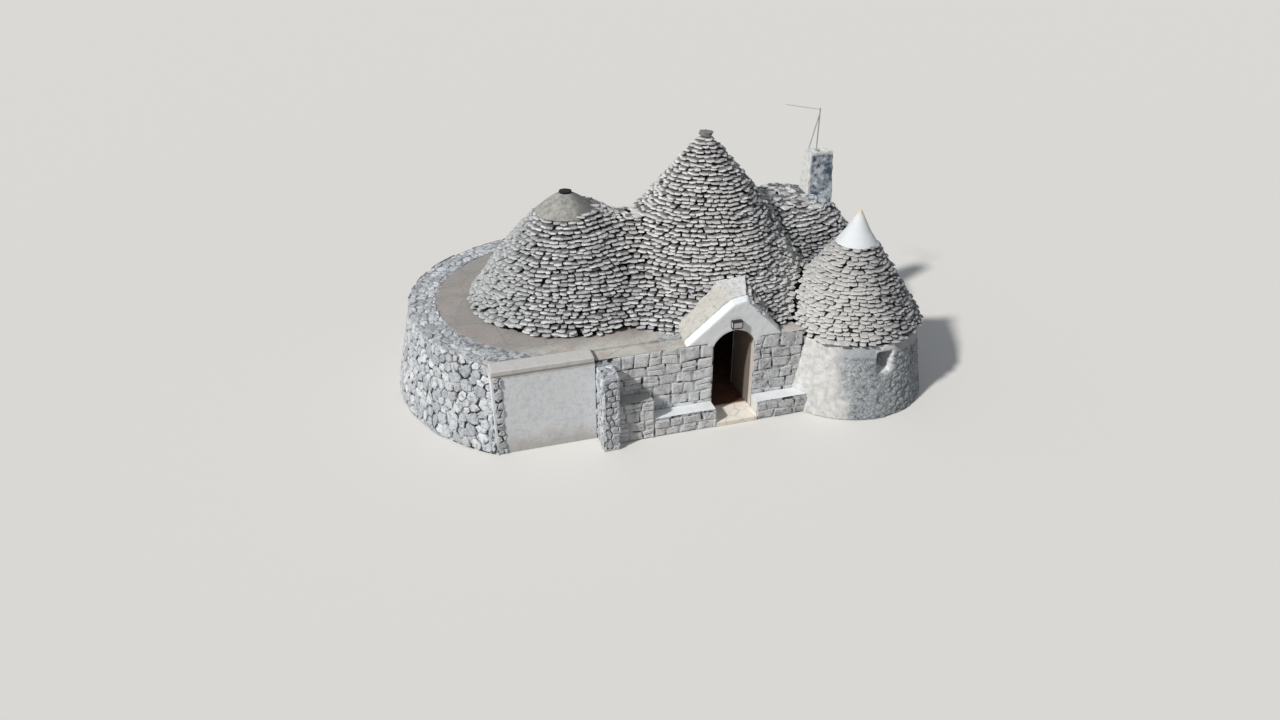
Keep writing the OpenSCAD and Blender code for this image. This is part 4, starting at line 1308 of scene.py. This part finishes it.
def plastered(name, nodes, finish, slot, rounds, hollow, cell=0.02, size=3.0, joints=None):
    """Solids as one mass of plaster, with hollows of a depth in metres, and joints where they show."""
    mesh = rebuilt(nodes, cell, rounds)
    normals = [vertex.normal.copy() for vertex in mesh.vertices]
    for vertex, normal in zip(mesh.vertices, normals):
        press = hollow * (0.5 + 0.5 * noise.fractal(vertex.co * size, 0.7, 2.0, 3))
        press = min(max(press, 0), hollow * 1.5)
        if joints:
            press += JOINT_PRESS * joints(vertex.co) * joint_depth(vertex.co)
        vertex.co -= normal * press
    for face in mesh.polygons:
        face.use_smooth = True
    piece(name, painted(mesh, finish), nodes)


# %% Tower, gable, chimney and caps
WORN_FROM, WORN_FADE, WORN_LEAN, EAVE_BAND = 2.75, 0.5, 0.12, 1.48
UNDER_STONES = Vector((-0.03, 0.06, -0.08))
CAP_SLAB = dict(hollow=0.01, cell=0.012, size=7.0)


def bare_of_wash(place):
    """0 where the tower's wash is thick, towards the door and under the eave, and 1 where it is worn."""
    worn = (place.x + place.z * WORN_LEAN - WORN_FROM) / WORN_FADE
    return min(max(worn, 0), 1) * (place.z < EAVE_BAND)


def under_stones(point):
    """Lowers whatever lies under the little roof's stones, apart from its foot."""
    return UNDER_STONES if point.z > WALL_TOP + 0.05 else None


plastered("tower_drum", ["tower_wall_left", "tower_wall_window", "tower_wall_right", "tower_wall_back"],
          WASH, "wall_lime", rounds=3, hollow=0.02, cell=0.028, size=4.0, joints=bare_of_wash)
plastered("gable_front", ["gable_wall", "door_arch"], PLASTER, "white_plaster", rounds=6, hollow=0.01)
plastered("gable_back", ["gable_slope_left"], CREAM, "white_plaster", rounds=6, hollow=0.03, size=5.0)
# the core under the stones beside the ridge is painted near black as shade
right_core = sunk(["gable_slope_right"], [under_stones], GAPS, GAPS)
piece("gable_slope_right_core", right_core, ["gable_slope_right"])
plastered("chimney_stack", ["chimney"], STACK, "wall_lime", rounds=5, hollow=0.03, size=6.0)
plastered("tower_cap_cone", ["tower_cap"], CAP, "white_plaster", rounds=2, hollow=0.004, cell=0.016)
plastered("left_cap_cone", ["left_cap"], CEMENT, "cement", rounds=6, hollow=0.012, size=2.5)
plastered("main_cap_slab", ["main_top_stone"], CEMENT, "cement", rounds=6, **CAP_SLAB)
plastered("left_cap_slab", ["left_cap_stone"], GAPS, "cement", rounds=3, **CAP_SLAB)
plastered("terrace_coping", ["panel_coping"], PLASTER, "white_plaster", rounds=4, hollow=0.01)

# %% [markdown]
# ## Solids that keep their shape
# The trowelled panel, the terrace, the floors, the walls of the passages and the thin tubes of the aerial are
# right as they were built. They only get their finish.

# %% Finishes for solids
for finish, nodes in {
    PLASTER: ["panel_wall"],
    SCREED: ["terrace_screed"],
    FLOOR: ["main_floor", "left_floor", "tower_floor", "threshold"],
    ROOM: ["left_passage_front", "left_passage_back", "left_passage_lintel",
           "tower_passage_front", "tower_passage_back", "tower_passage_lintel"],
    AERIAL: ["aerial"],
}.items():
    for node in nodes:
        painted(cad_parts[node].data, finish)
    print(f"{finish.name}: {', '.join(nodes)}")


# %% [markdown]
# ## Benches, step and pier
# The benches beside the door are low walls of hewn blocks with a smooth plastered seat. The taller step has
# a rough top of mortar. The leaning pier at the right end of the plastered panel is small rubble on every
# face. Each of them has its stones on the faces that show, and a core behind them.

# %% Benches and step
BENCH_COURSES, STEP_COURSES, BENCH_SINK = (0.2, 0.2), (0.24, 0.22, 0.24, 0.22), 0.035


def faced(name, node, top_finish, faces, skins):
    """A solid with stones on some of its faces, and a top with a finish of its own."""
    piece(name + "_blocks", joined(name, faces), [node])
    piece(name + "_core", sunk([node], skins, WASHED_JOINTS, top_finish), [node])


def bench(node, top_finish, courses, seed, free_end=True):
    """A low wall with blocks on its front, and on its right end where that stands free."""
    low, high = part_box(node)
    faces = [hewn((low.x, low.y, 0), high.x - low.x, courses, seed)]
    skins = [face_skin(1, low.y, BENCH_SINK)]
    if free_end:
        faces.append(hewn((high.x, low.y, 0), high.y - low.y, courses, seed + 1, right=(0, 1, 0)))
        skins.append(face_skin(0, high.x, -BENCH_SINK))
    faced(node, node, top_finish, faces, skins)


bench("bench_left", PLASTER, BENCH_COURSES, 51)
bench("bench_right", PLASTER, BENCH_COURSES, 53, free_end=False)
bench("stone_step", MORTAR, STEP_COURSES, 54)

# %% Pier
SMALL_RUBBLE = dict(Fill=0.95, Depth=0.06, Relief=0.03, Shoulder=0.82, Roughness=0.05)
SMALL_CELL, PIER_SINK = (0.19, 0.15), 0.03


def small_rubble(origin, width, top, seed, right, up=(0, 0, 1)):
    """A face of small stones that starts at a place and runs to the right and up."""
    return stood(rubble(width, top, SMALL_CELL, seed, seed, SMALL_RUBBLE), origin, right, up)


low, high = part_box("panel_pier")
wide, deep = high.x - low.x, high.y - low.y
pier_faces = [
    small_rubble((low.x, low.y, 0), wide, high.z, 61, (1, 0, 0)),
    small_rubble((high.x, low.y, 0), deep, high.z, 62, (0, 1, 0)),
    small_rubble((low.x, high.y, 0), deep, high.z, 63, (0, -1, 0)),
    small_rubble((low.x, low.y, high.z), wide, deep, 64, (1, 0, 0), (0, 1, 0)),
]
pier_skins = [face_skin(1, low.y, PIER_SINK), face_skin(0, high.x, -PIER_SINK),
              face_skin(0, low.x, PIER_SINK), face_skin(2, high.z, -PIER_SINK)]
faced("pier", "panel_pier", JOINTS, pier_faces, pier_skins)


# %% [markdown]
# ## The ragged end of the plastered panel
# At the panel's far left end the plaster stops and the wall's stones show, one above the other. They are laid
# like the pier's, and stand a few centimetres in front of a strip of dark joint.

# %% Stones at the panel's end
def boxes(name, parts, *finishes):
    """Plain boxes in one mesh. Each is given by its lowest corner, its highest, and its finish's number."""
    filled = bmesh.new()
    for low, high, number in parts:
        low, high = Vector(low), Vector(high)
        corners = bmesh.ops.create_cube(filled, size=1.0)["verts"]
        for vertex in corners:
            vertex.co = [low[i] + (vertex.co[i] + 0.5) * (high[i] - low[i]) for i in range(3)]
        for face in {f for v in corners for f in v.link_faces}:
            face.material_index = number
    mesh = bpy.data.meshes.new(name)
    filled.to_mesh(mesh)
    filled.free()
    for finish in finishes:
        mesh.materials.append(finish)
    return mesh


END_WIDTH, END_PROUD, STRIP_PROUD, STRIP_DEPTH = 0.2, 0.035, 0.006, 0.02
low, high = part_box("panel_wall")
strip_low = low.x + 0.04, low.y - STRIP_PROUD, 0.01
strip_high = low.x + END_WIDTH, low.y + STRIP_DEPTH, high.z - 0.06
end_joints = boxes("end joints", [(strip_low, strip_high, 0)], JOINTS)
end_start = low.x + 0.03, low.y - END_PROUD, 0
end_stones = small_rubble(end_start, END_WIDTH - 0.02, high.z - 0.05, 65, (1, 0, 0))
piece("panel_end_stones", joined("panel_end_stones", [end_stones, end_joints]))

# %% [markdown]
# ## The lantern over the door
# A small glass lantern hangs from a plate over the crown of the arch: four corner bars, a roof and a base
# round a frosted glass body. Boxes are enough for it, since it is only a hand high.

# %% Lantern
low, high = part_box("wall_lantern")
BAR, PLATE, IRON, FROSTED = 0.014, 0.02, 0, 1
inset = BAR * 0.6
lantern = [((x, y, low.z), (x + BAR, y + BAR, high.z), IRON)
           for x in (low.x, high.x - BAR) for y in (low.y, high.y - BAR)]
lantern.append(((low.x, low.y, high.z - PLATE), high, IRON))
lantern.append((low, (high.x, high.y, low.z + PLATE), IRON))
glass_low = low.x + inset, low.y + inset, low.z + PLATE
glass_high = high.x - inset, high.y, high.z - PLATE
lantern.append((glass_low, glass_high, FROSTED))
piece("door_lantern", boxes("lantern", lantern, LANTERN, GLASS), ["wall_lantern"])


# %% [markdown]
# ## Camera, light and floor
# The camera stands where the photograph was taken from: to the left of the door, high up, and looking down.
# Its lens and tilt follow from the upright and the level edges in the photograph. A hazy sun comes from the
# left and the front, and a pale sky fills the shadows. What the camera sees of the sky is a plain warm grey.
# The floor is brighter to the camera than to the house, so that it throws less light up the walls.

# %% Camera
def placed(name, data):
    """A new object in the scene."""
    thing = bpy.data.objects.new(name, data)
    bpy.context.scene.collection.objects.link(thing)
    return thing


camera = placed("camera", bpy.data.cameras.new("camera"))
camera.data.lens, camera.data.sensor_width = 24.95, 36.0
camera.location = (-7.20, -18.50, 10.95)
camera.rotation_euler = (math.radians(60.4), 0, math.radians(-17))
bpy.context.scene.camera = camera
print(f"camera {camera.location.z:.2f} m up, lens {camera.data.lens:.2f} mm")

# %% Sky and sun
world = bpy.data.worlds.new("soft studio")
bpy.context.scene.world = world
world.use_nodes = True
sky = Nodes(world.node_tree)
ray = sky.add("ShaderNodeLightPath")
shown = ray["Is Camera Ray"] + ray["Is Glossy Ray"] + ray["Is Transmission Ray"]
backdrop = world.node_tree.nodes["Background"]
lit_and_seen = sky.mix(shown, (0.86, 0.92, 1.0, 1.0), paint(221, 220, 216))
sky.tree.links.new(lit_and_seen.socket, backdrop.inputs["Color"])
sky.tree.links.new((shown * 0.72 + 0.28).socket, backdrop.inputs["Strength"])
sun = placed("key", bpy.data.lights.new("key", "SUN"))
sun.data.energy, sun.data.angle = 2.95, math.radians(4)
sun.data.color = (1.0, 0.98, 0.95)
sun.rotation_euler = Vector((-0.69, -0.31, 0.65)).to_track_quat("Z", "Y").to_euler()
print(f"sun of strength {sun.data.energy:.2f}, {math.degrees(sun.data.angle):.0f} degrees wide")

# %% Floor
REACH, FLOOR_Z = 150, -0.004
floor_corners = [(-REACH, -REACH, FLOOR_Z), (REACH, -REACH, FLOOR_Z),
                 (REACH, REACH, FLOOR_Z), (-REACH, REACH, FLOOR_Z)]
floor_mesh = bpy.data.meshes.new("floor")
floor_mesh.from_pydata(floor_corners, [], [(0, 1, 2, 3)])
pale = Finish("pale floor", Roughness=1.0)
pale.ground(pale.add("ShaderNodeLightPath", output="Is Camera Ray"), (172, 166, 158), (232, 230, 226))
floor_mesh.materials.append(pale.done())
placed("floor", floor_mesh)
bpy.context.scene.view_settings.view_transform = "Standard"
